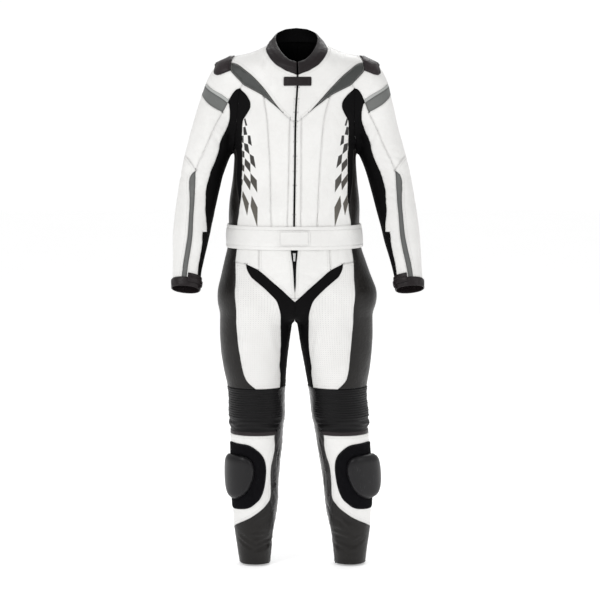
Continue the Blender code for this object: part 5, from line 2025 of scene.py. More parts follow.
@dataclass(frozen=True)
class ScuffedPlastic:
    """Hard nylon, scraped pale along its edge and across its face."""

    colour: Colour
    scuff: Colour
    slot: str = "hard_plastic"
    scratched: float = 0.3
    worn: float = 0.6
    gloss: float = 0.24
    roughness: float = 0.3

    # the scale and detail of each noise, and from where to where it shows
    SCRATCHES, PATCHES, CHIPS = (420, 5), (34, 4), (85, 5)
    SCRATCHES_SHOW, PATCHES_SHOW, CHIPS_SHOW = (0.56, 0.68), (0.46, 0.66), (0.36, 0.62)
    STREAKS, TWIST = (1.0, 1.0, 0.12), 0.3
    EDGE_FADE = (2.0, 7.0)
    SHEEN, FACE = (60, 3), (500, 3)
    SCUFF_DULL, SHEEN_SHARE, FACE_DEPTH, SCRATCH_DEPTH = 0.3, 0.12, 0.03, 0.08

    def material(self, name: str) -> bpy.types.Material:
        """Makes the finish.

        Args:
            name: The material's name.

        Returns:
            The material.
        """
        paint = Paint(name)
        long = paint.stretched(paint.place(), self.STREAKS)
        scratches = paint.noise(*self.SCRATCHES, long, self.TWIST).ramp(*self.SCRATCHES_SHOW)
        patches = paint.noise(*self.PATCHES).ramp(*self.PATCHES_SHOW)
        chips = paint.noise(*self.CHIPS).ramp(*self.CHIPS_SHOW)
        edge = (1 - paint.rim().ramp(*self.EDGE_FADE)) * chips
        mask = (scratches * patches * self.scratched + edge * self.worn).ramp(0.0, 1.0)
        tone = paint.mix(mask, self.colour, self.scuff)
        roughness = mask * self.SCUFF_DULL + paint.noise(*self.SHEEN) * self.SHEEN_SHARE
        roughness = roughness + self.roughness
        height = paint.noise(*self.FACE) * self.FACE_DEPTH
        height = height - scratches * patches * self.SCRATCH_DEPTH
        return paint.finish(tone, roughness, height, Specular_IOR_Level=self.gloss)


@dataclass(frozen=True)
class Tape:
    """Woven zip tape, or the mesh lining, painted paler where the weave stands out."""

    colour: Colour
    pitch: float = 1.1
    slot: str = "zip_tape"
    gloss: float = 0.06

    def material(self, name: str) -> bpy.types.Material:
        """Makes the finish.

        Args:
            name: The material's name.

        Returns:
            The material.
        """
        paint = Paint(name)
        place = paint.place()
        rate = 2000 * math.pi / self.pitch
        weave = (paint.axis(place, "X") * rate).wave() * (paint.axis(place, "Z") * rate).wave()
        # painted highlight: paler where the weave's crossings stand out
        tone = paint.mix(weave * 0.5 + 0.5, self.colour, tinted(self.colour, 1.9, 0.002))
        roughness = paint.noise(50, 2) * 0.1 + 0.78
        return paint.finish(tone, roughness, weave * 0.12, Specular_IOR_Level=self.gloss)


@dataclass(frozen=True)
class Thread:
    """Bonded polyester thread, twisted."""

    colour: Colour
    slot: str = "white_leather"

    def material(self, name: str) -> bpy.types.Material:
        """Makes the finish.

        Args:
            name: The material's name.

        Returns:
            The material.
        """
        paint = Paint(name)
        twist = paint.noise(1800, 2)
        tone = paint.mix(twist, tinted(self.colour, 0.7), self.colour)
        return paint.finish(tone, 0.55, twist * 0.05)


@dataclass(frozen=True)
class Metal:
    """Plated zip metal, rubbed bright on its high places."""

    colour: Colour
    roughness: float = 0.28
    slot: str = "zip_metal"

    def material(self, name: str) -> bpy.types.Material:
        """Makes the finish.

        Args:
            name: The material's name.

        Returns:
            The material.
        """
        paint = Paint(name)
        wear = paint.noise(400, 4)
        tone = paint.mix(wear, tinted(self.colour, 0.75), self.colour)
        return paint.finish(tone, wear * 0.2 + (self.roughness - 0.1), wear * 0.02, Metallic=1.0)


class Wardrobe:
    """Every finish of the suit by name, each made once."""

    FINISHES = {
        "white_leather": Leather(*WHITE),
        "perforated_leather": Leather(*WHITE, holes=5.6),
        "checked_leather": Leather(*WHITE, checks=True),
        "wedge_leather": Leather(
            (0.052, 0.055, 0.053), (0.038, 0.041, 0.039), 0.45, slot="grey_leather", gloss=0.3
        ),
        "band_leather": Leather(
            (0.42, 0.43, 0.42), (0.32, 0.33, 0.32), 0.45, slot="grey_leather"
        ),
        "grey_leather": Leather(
            (0.155, 0.16, 0.155), (0.115, 0.12, 0.115), 0.45, slot="grey_leather", gloss=0.35
        ),
        "stripe_leather": Leather(
            (0.135, 0.138, 0.134), (0.095, 0.098, 0.095), 0.45, slot="grey_leather", gloss=0.35
        ),
        "charcoal_leather": Leather(
            (0.0098, 0.0085, 0.0076), (0.0060, 0.0053, 0.0048), 0.38, slot="charcoal_leather",
            gloss=0.27,
        ),
        "black_leather": Leather(
            (0.0135, 0.0095, 0.0105), (0.008, 0.006, 0.0065), 0.42, slot="black_leather",
            gloss=0.25,
        ),
        "brown_leather": Leather(
            (0.0215, 0.0150, 0.0170), (0.012, 0.009, 0.0095), 0.40, slot="black_leather",
            gloss=0.25,
        ),
        "gloss_leather": Leather(
            (0.013, 0.0115, 0.012), (0.008, 0.007, 0.0075), 0.30, 0.5, slot="charcoal_leather"
        ),
        "black_stretch": Knit((0.0026, 0.0024, 0.0027)),
        "gathered_stretch": Knit((0.0022, 0.0019, 0.0023), gloss=0.18, roughness=0.30),
        "loop_pile": Pile((0.0011, 0.0010, 0.0015)),
        "hard_plastic": ScuffedPlastic((0.0085, 0.0080, 0.0090), (0.060, 0.060, 0.064)),
        "zip_tape": Tape((0.004, 0.004, 0.0045)),
        # the lining's black is made darker still, painted shade inside the suit and the collar
        "lining": Tape((0.0015, 0.0015, 0.0016), 2.2, "black_stretch"),
        "zip_metal": Metal((0.72, 0.72, 0.72)),
        "dark_coil": Metal((0.018, 0.018, 0.019), 0.42),
        "pale_thread": Thread((0.62, 0.61, 0.59)),
        "dark_thread": Thread((0.05, 0.05, 0.052), "black_leather"),
    }

    def __init__(self) -> None:
        """Starts with nothing made."""
        self.made: dict[str, bpy.types.Material] = {}

    def material(self, name: str) -> bpy.types.Material:
        """Makes a finish's material once.

        Args:
            name: The finish.

        Returns:
            Its material.
        """
        if name not in self.made:
            self.made[name] = self.FINISHES[name].material(name)
        return self.made[name]

    def slot_of(self, name: str) -> str:
        """The material slot that the finish belongs to."""
        return self.FINISHES[name].slot


WARDROBE = Wardrobe()


@dataclass(frozen=True)
class KneeRibs:
    """The relief of the stretch panel above the knee: rounded ribs, with gathers under them."""

    rise: float = 2.3
    roundness: float = 0.75
    gather: float = 2.9
    lengths: tuple[float, float] = (12.5, 19)
    start: float = 6
    foot: tuple[float, float] = (-1006, -999)

    # how even the ribs and the gathers are: the least share and the part that comes and goes
    RIB_EVEN, GATHER_EVEN = (0.85, 0.15), (0.65, 0.35)
    # the lengths across of those changes, in millimetres, and each rib's own shift
    RIB_WAVE, GATHER_WAVE, RIB_SHIFT = 17, 38, 2.1
    # how the gathers wander from side to side
    SWING, SWING_SHARE = (30, 61), 0.8
    BENDS, SECOND_SHARE, SECOND_RATE = (2.2, 1.6), 0.6, 0.6

    def relief(self, flat: Array) -> Array:
        """How far the cloth stands out.

        Args:
            flat: Points of the leg's chart, in millimetres.

        Returns:
            The height over the form at each, in metres.
        """
        across, height = flat.T
        down = (KNEE_TOP - height) / RIB_PITCH
        wave = np.abs(np.sin(math.pi * down)) ** self.roundness
        least, change = self.RIB_EVEN
        phase = across / self.RIB_WAVE + np.floor(down) * self.RIB_SHIFT
        uneven = least + change * np.sin(phase)
        total = np.where((down > 0) & (down < RIB_COUNT), self.rise * MM * wave * uneven, 0)
        low = KNEE_TOP - RIB_PITCH * RIB_COUNT
        below = smooth_step(low, low - self.start, height) * smooth_step(*self.foot, height)
        swing = across / self.SWING[0] + self.SWING_SHARE * np.sin(across / self.SWING[1])
        turns = height * 2 * math.pi
        gather = np.sin(turns / self.lengths[0] + self.BENDS[0] * np.sin(swing))
        second = self.BENDS[1] * np.sin(swing * self.SECOND_RATE + 1)
        gather += self.SECOND_SHARE * np.sin(turns / self.lengths[1] - second)
        least, change = self.GATHER_EVEN
        strength = least + change * np.sin(across / self.GATHER_WAVE + 2)
        return total + below * self.gather * MM * gather * strength


class Edge(Enum):
    """How a panel's edge is made."""

    TURNED = "folded under into the seam"
    FLAT = "laid flat and overstitched"


class Stitching(Enum):
    """The rows of stitches inside a panel's edge, in millimetres from it."""

    NONE = ()
    SINGLE = (2.6,)
    DOUBLE = (2.4, 7.2)


@dataclass(frozen=True)
class PanelCut:
    """What a panel is cut from, where it lies and how it is sewn."""

    name: str
    label: tuple[View, tuple[float, float]]
    finish: str
    stitching: Stitching = Stitching.SINGLE
    tone: str = "pale"
    lift: float = 0.0
    wall: float = 1.7
    crease: float = 1.0
    edge: Edge = Edge.TURNED
    part_of: str = ""

    def node(self, side: Side) -> str:
        """The solid that it stands for on one side."""
        return f"{self.part_of or self.name}_{side.word}"


DARK = {"tone": "dark"}
PLAIN, DOUBLE = {"stitching": Stitching.NONE}, {"stitching": Stitching.DOUBLE}
LAID = {"edge": Edge.FLAT}
TRUNK_CUTS = (
    PanelCut("chest_yoke", (F, (100, -20)), "white_leather", **DOUBLE),
    PanelCut("chest_wedge", (F, (124, -62)), "wedge_leather", lift=-1.6, **LAID),
    PanelCut("front_centre", (F, (40, -260)), "white_leather"),
    PanelCut("zip_facing", (F, (8, -260)), "white_leather", part_of="front_centre"),
    PanelCut("chest_side", (F, (100, -240)), "checked_leather"),
    PanelCut("side_stretch", (F, (135, -120)), "black_stretch", crease=1.2, **PLAIN),
    PanelCut("side_leather", (R, (100, -330)), "charcoal_leather", **DARK),
    PanelCut("back_panel", (R, (155, -200)), "white_leather", **DOUBLE),
)
SLEEVE_CUTS = (
    PanelCut("sleeve_cap", (F, (195, -65)), "white_leather"),
    PanelCut("arm_band_light", (F, (215, -92)), "band_leather", part_of="arm_band", **PLAIN),
    PanelCut("arm_band_dark", (F, (225, -112)), "grey_leather", part_of="arm_band", **DARK),
    PanelCut("upper_arm", (F, (245, -190)), "white_leather"),
    PanelCut("sleeve_front", (F, (218, -232)), "white_leather", crease=1.2),
    PanelCut("forearm", (F, (300, -420)), "white_leather", **DOUBLE),
    PanelCut("forearm_stripe", (F, (274, -413)), "stripe_leather", **DARK),
    PanelCut("underarm_stretch", (F, (190, -260)), "black_stretch", crease=1.4, **PLAIN),
    PanelCut(
        "shoulder_cup", (R, (90, 119)), "brown_leather", lift=0.2, wall=1.8, crease=0.1,
        **LAID, **DARK,
    ),
)
LEG_CUTS = (
    PanelCut("hip_front", (F, (50, -540)), "white_leather", **DOUBLE),
    PanelCut("hip_outer", (F, (125, -510)), "white_leather", part_of="hip_front"),
    PanelCut("gusset", (F, (70, -597)), "black_stretch", crease=1.2, **PLAIN),
    PanelCut("thigh_front", (F, (100, -700)), "perforated_leather", **DOUBLE),
    PanelCut("thigh_side", (R, (0, -700)), "charcoal_leather", **DARK),
    PanelCut("trouser_back", (R, (-100, -700)), "charcoal_leather", **DARK),
    PanelCut("accordion", (R, (60, -921)), "gathered_stretch", crease=0.15, **PLAIN),
    PanelCut(
        "knee_binding", (R, (60, -1000)), "brown_leather", crease=0.3, part_of="accordion", **DARK
    ),
    PanelCut("knee_panel", (R, (100, -1016)), "white_leather", crease=0.7, **DOUBLE),
    PanelCut(
        "velcro", (F, (112, -1150)), "loop_pile", lift=0.3, wall=1.6, crease=0.15, **LAID, **DARK
    ),
    PanelCut(
        "knee_slider", (R, (40, -1120)), "hard_plastic", lift=2.1, wall=3.0, crease=0.0,
        **LAID, **PLAIN,
    ),
    PanelCut("calf", (R, (60, -1320)), "charcoal_leather", crease=1.1, **DARK),
    PanelCut(
        "inner_calf", (R, (173, -1320)), "gloss_leather", crease=1.5, part_of="calf", **DARK
    ),
)
OVERLAYS = {"knee_slider": "velcro", "velcro": "knee_panel", "shoulder_cup": "sleeve_cap"}
# how wide a piece's rounded rise is, and how high it ends
DOMES = {"knee_slider": (22, 12.5), "shoulder_cup": (18, 1.6)}


def dome(rim: Array, width: float, height: float) -> Array:
    """A rounded rise from a low edge to its full height, by the distance in from the edge."""
    part = np.clip(rim / width, 0, 1)
    return height * MM * np.sqrt(1 - (1 - part) ** 2)


def mesh_piece(
    mesh: bpy.types.Mesh,
    finishes: Sequence[str],
    nodes: Sequence[str],
    slot: str,
    body: str = SUIT,
) -> bpy.types.Object:
    """Links a finished mesh as the piece of its name.

    Args:
        mesh: The mesh, in its place.
        finishes: The finishes of its material slots, in order.
        nodes: The frame's solids that it stands for.
        slot: A material slot's name; not used.
        body: The body that carries it.

    Returns:
        The piece.
    """
    for finish in finishes:
        mesh.materials.append(WARDROBE.material(finish))
    piece = bpy.data.objects.new(mesh.name, mesh)
    bpy.context.scene.collection.objects.link(piece)
    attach(piece, body)
    if nodes:
        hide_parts(*nodes)
    LOG.info("%s: %d faces", mesh.name, len(mesh.polygons))
    return piece


def give_wall(piece: bpy.types.Object, wall: float) -> bpy.types.Modifier:
    """Gives a sheet its thickness inwards.

    Args:
        piece: The sheet.
        wall: Its thickness, in millimetres.

    Returns:
        The modifier that does it.
    """
    made = piece.modifiers.new("cloth", "SOLIDIFY")
    made.thickness = wall * MM
    made.offset = -1
    return made


def scattered(name: str, shape: bmesh.types.BMesh, places: Array, axes: Array) -> bpy.types.Mesh:
    """Copies a small shape many times into one mesh.

    Args:
        name: The mesh's name.
        shape: The shape, which is used up.
        places: The middle of each copy.
        axes: The directions of the shape's axes, for each copy or one set for all.

    Returns:
        The mesh.
    """
    shape.verts.index_update()
    points = np.array([vertex.co[:] for vertex in shape.verts])
    corners = [tuple(vertex.index for vertex in face.verts) for face in shape.faces]
    shape.free()
    placed = places[:, None] + points @ axes
    count = len(points)
    faces = [
        tuple(corner + count * number for corner in face)
        for number in range(len(places))
        for face in corners
    ]
    mesh = bpy.data.meshes.new(name)
    mesh.from_pydata(placed.reshape(-1, 3).tolist(), [], faces)
    mesh.shade_smooth()
    return mesh


def rim_distance(points: Array, border: Array) -> Array:
    """Each point's distance to the nearest border point, in millimetres."""
    tree = tree_of(border)
    return np.array([tree.find(point)[2] for point in points]) / MM


def densely(loop: Array, step: float = 1.2 * MM) -> Array:
    """A closed ring of points, walked closely."""
    return evenly(loop, step, closed=True)


def write_rim(mesh: bpy.types.Mesh, rim: Array) -> None:
    """Writes each point's distance to the nearest edge on a mesh, in millimetres."""
    mesh.attributes.new("rim", "FLOAT", "POINT").data.foreach_set("value", rim)


def on_front(x: Array, z: Array, lift: Array) -> Array:
    """Posed points in front of the cloth, by place across, height and lift in millimetres."""
    points = FORM.cast(*ray_from(-1, np.column_stack([x, z]) * MM), inside=False)
    return FORM.posed(points + FORM.normal(points) * (lift * MM)[:, None])


@dataclass
class Threads:
    """Rows of stitches, gathered by thread and part of the suit, and made as joined meshes."""

    length: float = 2.7
    width: float = 0.75
    rise: float = 0.5
    pitch: float = 3.7
    rows: dict[str, list[Array]] = field(default_factory=dict)

    def add(self, group: str, places: Array, along: Array, out: Array) -> None:
        """Adds a row.

        Args:
            group: The joined mesh that it belongs to.
            places: The middle of each stitch, on the leather.
            along: The row's direction at each stitch.
            out: The direction out of the leather.
        """
        self.rows.setdefault(group, []).append(np.stack([places, along, out], axis=1))

    def sew(self, group: str, places: Array, along: Array, out: Array) -> None:
        """Adds a row whose directions are rough: of any length, and not quite square.

        Args:
            group: The joined mesh that it belongs to.
            places: The middle of each stitch, on the leather.
            along: About the row's direction at each stitch.
            out: About the direction out of the leather.
        """
        along = unit(along)
        self.add(group, places, along, unit(out - (out * along).sum(1)[:, None] * along))

    def bead(self) -> bmesh.types.BMesh:
        """Shapes one stitch.

        Returns:
            A five-sided bead drawn out along the row, its ends sunk.
        """
        shape = bmesh.new()
        bmesh.ops.create_uvsphere(shape, u_segments=5, v_segments=3, radius=0.5)
        turn = Matrix.Rotation(math.pi / 2, 3, "Y")
        bmesh.ops.rotate(shape, cent=(0, 0, 0), matrix=turn, verts=shape.verts)
        size = Vector((self.length, self.width, self.rise * 2)) * MM
        bmesh.ops.scale(shape, vec=size, verts=shape.verts)
        return shape

    def make(self) -> None:
        """Makes one piece of every group."""
        for group, rows in self.rows.items():
            middle, along, out = np.concatenate(rows).transpose(1, 0, 2)
            axes = np.stack([along, np.cross(out, along), out], axis=1)
            mesh = scattered(f"stitches_{group}", self.bead(), middle, axes)
            dark = "dark" in group
            thread = "dark_thread" if dark else "pale_thread"
            mesh_piece(mesh, [thread], [], "black_leather" if dark else "white_leather")


THREADS = Threads()


@dataclass
class Section:
    """A part of the suit that is cut from one chart."""

    name: str
    cutting: Cutting
    cuts: tuple[PanelCut, ...]
    cloth: Cloth = field(init=False)

    GAP = 0.03
    # how far in from the edge a ring lies, and how far it is moved out, the inner ring first
    ROLL = ((2.1, 0.05), (0.8, -0.2))
    ROLL_EDGE = -0.75
    # how near the middle an edge is drawn onto it
    MIDDLE = 0.4
    # half the opening that shows the zip, and how far from the middle the cloth gives way to it
    ZIP_EDGE = 2.6
    ZIP_REACH = 9.0
    # the least part of its box that a cut is said to fill, and the least points of a sewn edge
    LEAST_FILL = 0.301
    LEAST_POINTS = 8
    # how much nearer the edge a stitch may lie than its row, and how high over the cloth
    STITCH_SLACK = 0.5
    STITCH_LIFT = 0.1

    def __post_init__(self) -> None:
        """Cuts the panels."""
        self.cloth = self.cutting.cut({cut.name: cut.label for cut in self.cuts})

    def build(self, drapes: dict[Side, Drape]) -> None:
        """Makes every panel on both sides.

        Args:
            drapes: Each side's creases.
        """
        panels = self.cloth.panels
        for name, over in OVERLAYS.items():
            if name in panels and over in panels:
                faces = np.concatenate([panels[over].faces, panels[name].faces])
                panels[over] = Panel(over, faces, border_loops(faces))
        relief = {side: drape.relief(self.cloth.places) for side, drape in drapes.items()}
        for cut in self.cuts:
            for side, drape in drapes.items():
                self.make(cut, panels[cut.name], side, drape, relief[side])
                self.stitch(cut, panels[cut.name], side, drape)

    def make(self, cut: PanelCut, panel: Panel, side: Side, drape: Drape, relief: Array) -> None:
        """Makes one panel on one side.

        Args:
            cut: How it is cut and sewn.
            panel: Its triangles.
            side: The wearer's side.
            drape: The side's creases.
            relief: How far they move each point of the cloth.
        """
        used = np.unique(panel.faces)
        number = np.full(len(self.cloth.flat), -1)
        number[used] = np.arange(len(used))
        places, outward = self.cloth.places[used], self.cloth.outward[used]
        flat = self.cloth.flat[used]
        border = np.concatenate([densely(self.cloth.places[loop]) for loop in panel.loops])
        rim = rim_distance(places, border)
        raised = self.raised(cut, rim, relief[used] + drape.pucker(places, rim))
        if cut.name == "accordion":
            raised = raised + KneeRibs().relief(flat) * smooth_step(0, 4, rim)
        points = places + outward * raised[:, None]
        if self.name == "jacket":
            self.open_zip(points, places)
        mesh = bpy.data.meshes.new(f"{cut.name}_{side.word}_cloth")
        mesh.from_pydata(points.tolist(), [], number[panel.faces].tolist())
        chart = mesh.uv_layers.new(name="chart")
        corners = np.zeros(len(mesh.loops), np.int32)
        mesh.loops.foreach_get("vertex_index", corners)
        chart.data.foreach_set("uv", (flat[corners] * MM).ravel())
        self.turn_edges(mesh, cut)
        self.settle_side(mesh, side, border)
        # the inside takes the lining, whose colour carries painted shade
        inner = "lining" if cut.edge is Edge.TURNED else cut.finish
        slot = WARDROBE.slot_of(cut.finish)
        piece = mesh_piece(mesh, [cut.finish, inner], [cut.node(side)], slot)
        wall = give_wall(piece, cut.wall)
        wall.material_offset = wall.material_offset_rim = 1
        wall.use_even_offset = cut.name == "knee_slider"

    def raised(self, cut: PanelCut, rim: Array, relief: Array) -> Array:
        """How far points of a panel stand out from the form.

        Args:
            cut: How it is cut and sewn.
            rim: Each point's distance to the panel's edge, in millimetres.
            relief: What the creases add at each, in metres.

        Returns:
            The height at each, in metres.
        """
        total = cut.crease * relief
        if cut.edge is Edge.FLAT:
            total = total + cut.lift * MM + cut.wall * MM
        if cut.name in DOMES:
            total = total + dome(rim, *DOMES[cut.name])
        return total

    def open_zip(self, points: Array, places: Array) -> None:
        """Moves the cloth beside the jacket's zip away from the middle.

        Args:
            points: The cloth's points, which are moved.
            places: Where they lie on the form.
        """
        away = np.abs(places[:, 0]) / self.ZIP_REACH
        near = (away < MM) & (places[:, 1] < 0)
        points[near, 0] += self.ZIP_EDGE * (MM - away[near])

    def turn_edges(self, mesh: bpy.types.Mesh, cut: PanelCut) -> None:
        """Opens the seam a little and rounds the edge down into it.

        Args:
            mesh: The panel's mesh, which is changed.
            cut: How it is cut and sewn.
        """
        shape = bmesh.new()
        shape.from_mesh(mesh)
        options = {"use_boundary": True, "use_even_offset": False, "use_interpolate": True}
        ring = bmesh.ops.inset_region(
            shape, faces=shape.faces[:], thickness=self.GAP * MM, **options
        )
        bmesh.ops.delete(shape, geom=ring["faces"], context="FACES")
        loose = [vertex for vertex in shape.verts if not vertex.link_faces]
        bmesh.ops.delete(shape, geom=loose, context="VERTS")
        if cut.edge is Edge.TURNED:
            shape.normal_update()
            edge = [vertex for vertex in shape.verts if vertex.is_boundary]
            falls = [(edge, self.ROLL_EDGE)]
            for width, fall in self.ROLL:
                inner = bmesh.ops.inset_region(
                    shape, faces=shape.faces[:], thickness=width * MM, **options
                )
                ring_points = {vertex for face in inner["faces"] for vertex in face.verts}
                known = {vertex for points, _ in falls for vertex in points}
                falls.append((list(ring_points - known), fall))
            shape.normal_update()
            for points, fall in falls:
                for vertex in points:
                    vertex.co += vertex.normal * fall * MM
        for vertex in shape.verts:
            if vertex.is_boundary and abs(vertex.co.x) < self.MIDDLE * MM:
                vertex.co.x = 0.0
        shape.to_mesh(mesh)
        shape.free()
        mesh.shade_smooth()

    def settle_side(self, mesh: bpy.types.Mesh, side: Side, border: Array) -> None:
        """Mirrors and poses the mesh, and writes each point's distance to the seam on it.

        Args:
            mesh: The panel's mesh, which is changed.
            side: The wearer's side.
            border: Points along the panel's edge.
        """
        points = np.zeros(len(mesh.vertices) * 3)
        mesh.vertices.foreach_get("co", points)
        points = points.reshape(-1, 3)
        rim = rim_distance(points, border)
        points[:, 0] *= side.value
        mesh.vertices.foreach_set("co", FORM.posed(points).ravel())
        if side is Side.RIGHT:
            mesh.flip_normals()
        write_rim(mesh, rim)
        mesh.update()

    def stitch(self, cut: PanelCut, panel: Panel, side: Side, drape: Drape) -> None:
        """Runs the rows of stitches inside the panel's edge.

        Args:
            cut: How it is cut and sewn.
            panel: Its edges.
            side: The wearer's side.
            drape: The side's creases.
        """
        sign = np.array([side.value, 1, 1])
        for offset in cut.stitching.value:
            for loop in panel.loops:
                line = self.cloth.places[loop]
                if len(line) < self.LEAST_POINTS:
                    continue
                fine = evenly(line, THREADS.pitch * MM, closed=True)
                nearest = tree_of(line)
                out = self.cloth.outward[loop][[nearest.find(point)[1] for point in fine]]
                along = np.roll(fine, -1, axis=0) - np.roll(fine, 1, axis=0)
                along /= np.linalg.norm(along, axis=1)[:, None] + 1e-12
                places = fine + np.cross(out, along) * offset * MM
                clear = rim_distance(places, densely(line)) > offset - self.STITCH_SLACK
                if not clear.any():
                    continue
                places, along, out = places[clear], along[clear], out[clear]
                places = FORM.settle(places, 1)
                rim = np.full(len(places), offset)
                relief = drape.relief(places) + drape.pucker(places, rim)
                raised = self.raised(cut, rim, relief)
                places = places + out * (raised + self.STITCH_LIFT * MM)[:, None]
                group = f"{self.name}_{cut.tone}"
                THREADS.add(group, FORM.posed(places * sign), along * sign, out * sign)


Placing = Callable[[Array, Array], Array]


def mapped(
    name: str,
    place: Placing,
    faces: tuple[int, int],
    size: tuple[float, float],
    ring: bool = False,
    tube: bool = False,
    capped: bool = False,
) -> bpy.types.Mesh:
    """A grid bent into its place.

    Args:
        name: The mesh's name.
        place: Gives the points for the parts across and up, both from 0 to 1.
        faces: The number of faces across and up.
        size: The flat size across and up, in metres, for the chart.
        ring: Whether its sides meet.
        tube: Whether its top meets its foot.
        capped: Whether its open ends are closed.

    Returns:
        The mesh.
    """
    shape = bmesh.new()
    bmesh.ops.create_grid(shape, x_segments=faces[0], y_segments=faces[1], size=1.0)
    across = np.array([vertex.co.x for vertex in shape.verts]) / 2 + 0.5
    up = np.array([vertex.co.y for vertex in shape.verts]) / 2 + 0.5
    chart = shape.loops.layers.uv.new("chart")
    for face in shape.faces:
        for loop in face.loops:
            spot = loop.vert.co
            loop[chart].uv = ((spot.x / 2 + 0.5) * size[0], (spot.y / 2 + 0.5) * size[1])
    for vertex, point in zip(shape.verts, place(across, up)):
        vertex.co = point
    if ring or tube:
        border = [vertex for vertex in shape.verts if vertex.is_boundary]
        bmesh.ops.remove_doubles(shape, verts=border, dist=1e-6)
    if capped:
        ends = [edge for edge in shape.edges if edge.is_boundary]
        bmesh.ops.holes_fill(shape, edges=ends, sides=0)
    if tube:
        bmesh.ops.recalc_face_normals(shape, faces=shape.faces[:])
    mesh = bpy.data.meshes.new(name)
    shape.to_mesh(mesh)
    shape.free()
    write_rim(mesh, np.full(len(mesh.vertices), FAR_FROM_EDGE))
    mesh.shade_smooth()
    return mesh


def profile(
    table: Sequence[tuple[float, float]], step: float = 0.8
) -> Callable[[Array], Array]:
    """Draws the smooth outline of a section.

    Args:
        table: Points once round it.
        step: The longest space between two of its points.

    Returns:
        A function from the part round the outline to its points.
    """
    line = through(np.array(table, float), step, closed=True)
    line = np.vstack([line, line[:1]])
    run = np.concatenate([[0], np.cumsum(np.linalg.norm(np.diff(line, axis=0), axis=1))])
    run /= run[-1]
    return lambda part: np.column_stack([np.interp(part, run, column) for column in line.T])


@dataclass
class Belt:
    """The jacket's padded waistband, with a sewn channel along each edge, and its tab."""

    # height over its foot and lift off the cloth in millimetres, once round the section
    section: tuple = (
        (4, 1.2), (0.4, 1.3), (-0.4, 2.6), (1.2, 4.2), (4.5, 5.3), (8.2, 5.5), (9.8, 4.4),
        (11.4, 5.6), (17, 6.5), (26, 6.9), (36, 6.9), (46, 6.4), (50.4, 5.5), (52.0, 4.3),
        (53.6, 5.4), (57.4, 5.2), (60.8, 4.2), (62.3, 2.6), (61.6, 1.3), (58, 1.2), (31, 1.2),
    )
    faces: tuple[int, int] = (300, 74)
    flat: tuple[float, float] = (1.0, 0.14)
    padding: float = 0.5
    height: float = 62
    channels: tuple[float, float] = (9.8, 52.0)
    channel_width: float = 6
    channel_lift: float = 4.6
    radius: float = 150
    tab_across: tuple[float, float] = (-42, 42)
    tab_up: tuple[float, float] = (-492, -452)
    # waves round the waist, what moves them along and their height in millimetres
    fine_pucker: tuple[float, float, float] = (61, 7, 0.22)
    wide_pucker: tuple[float, float, float] = (23, 1.3, 0.3)
    slack: tuple[float, float, float] = (5, 19, 0.35)
    face_lift: tuple[float, float] = (2.6, 4.4)

    def build(self) -> None:
        """Makes the band, its stitches and its tab."""
        outline = profile(self.section)

        def place(across: Array, up: Array) -> Array:
            """The band's points, by the parts round the waist and round the section."""
            return self.on_trunk(across * 2 * math.pi, *outline(up).T)

        mesh = mapped("belt_band", place, self.faces, self.flat, ring=True, tube=True)
        band = mesh_piece(mesh, ["white_leather"], ["belt"], "white_leather")
        for channel in self.channels:
            turn = np.arange(0, 2 * math.pi, THREADS.pitch * MM / (self.radius * MM))
            height, lift = np.full(len(turn), channel), np.full(len(turn), self.channel_lift)
            places = self.on_trunk(turn, height, lift)
            along = self.on_trunk(turn + 0.002, height, lift) - places
            THREADS.sew("belt_pale", places, along, np.cross(along, UP))
        FrontPatch(
            "belt_tab_flap", "belt_tab", self.tab_across, self.tab_up,
            lift=7.0, wall=1.5, corner=5.0, finish="white_leather", tone="dark",
        ).build()

    def on_trunk(self, turn: Array, height: Array, lift: Array) -> Array:
        """Posed points of the trunk, lifted, with the band's small puckers.

        Args:
            turn: The turn from the front.
            height: The height over the band's foot, in millimetres.
            lift: The lift off the cloth, in millimetres.

        Returns:
            The points.
        """
        level = np.clip(height, 0, self.height)
        points = FORM.cast(*rays_round(turn, (BELT_BOTTOM + height) * MM))
        channel = sum(np.exp(-((level - at) / self.channel_width) ** 2) for at in self.channels)
        waves, swing, high = self.fine_pucker
        ripple = np.sin(turn * waves + 2 * np.sin(turn * swing)) * high
        waves, shift, high = self.wide_pucker
        ripple = ripple + np.sin(turn * waves + shift) * high
        waves, rise, high = self.slack
        slack = np.sin(turn * waves + level / rise) * high
        raised = (lift + smooth_step(*self.face_lift, lift) * (ripple * channel + slack)) * MM
        return FORM.posed(points + FORM.normal(points) * raised[:, None])


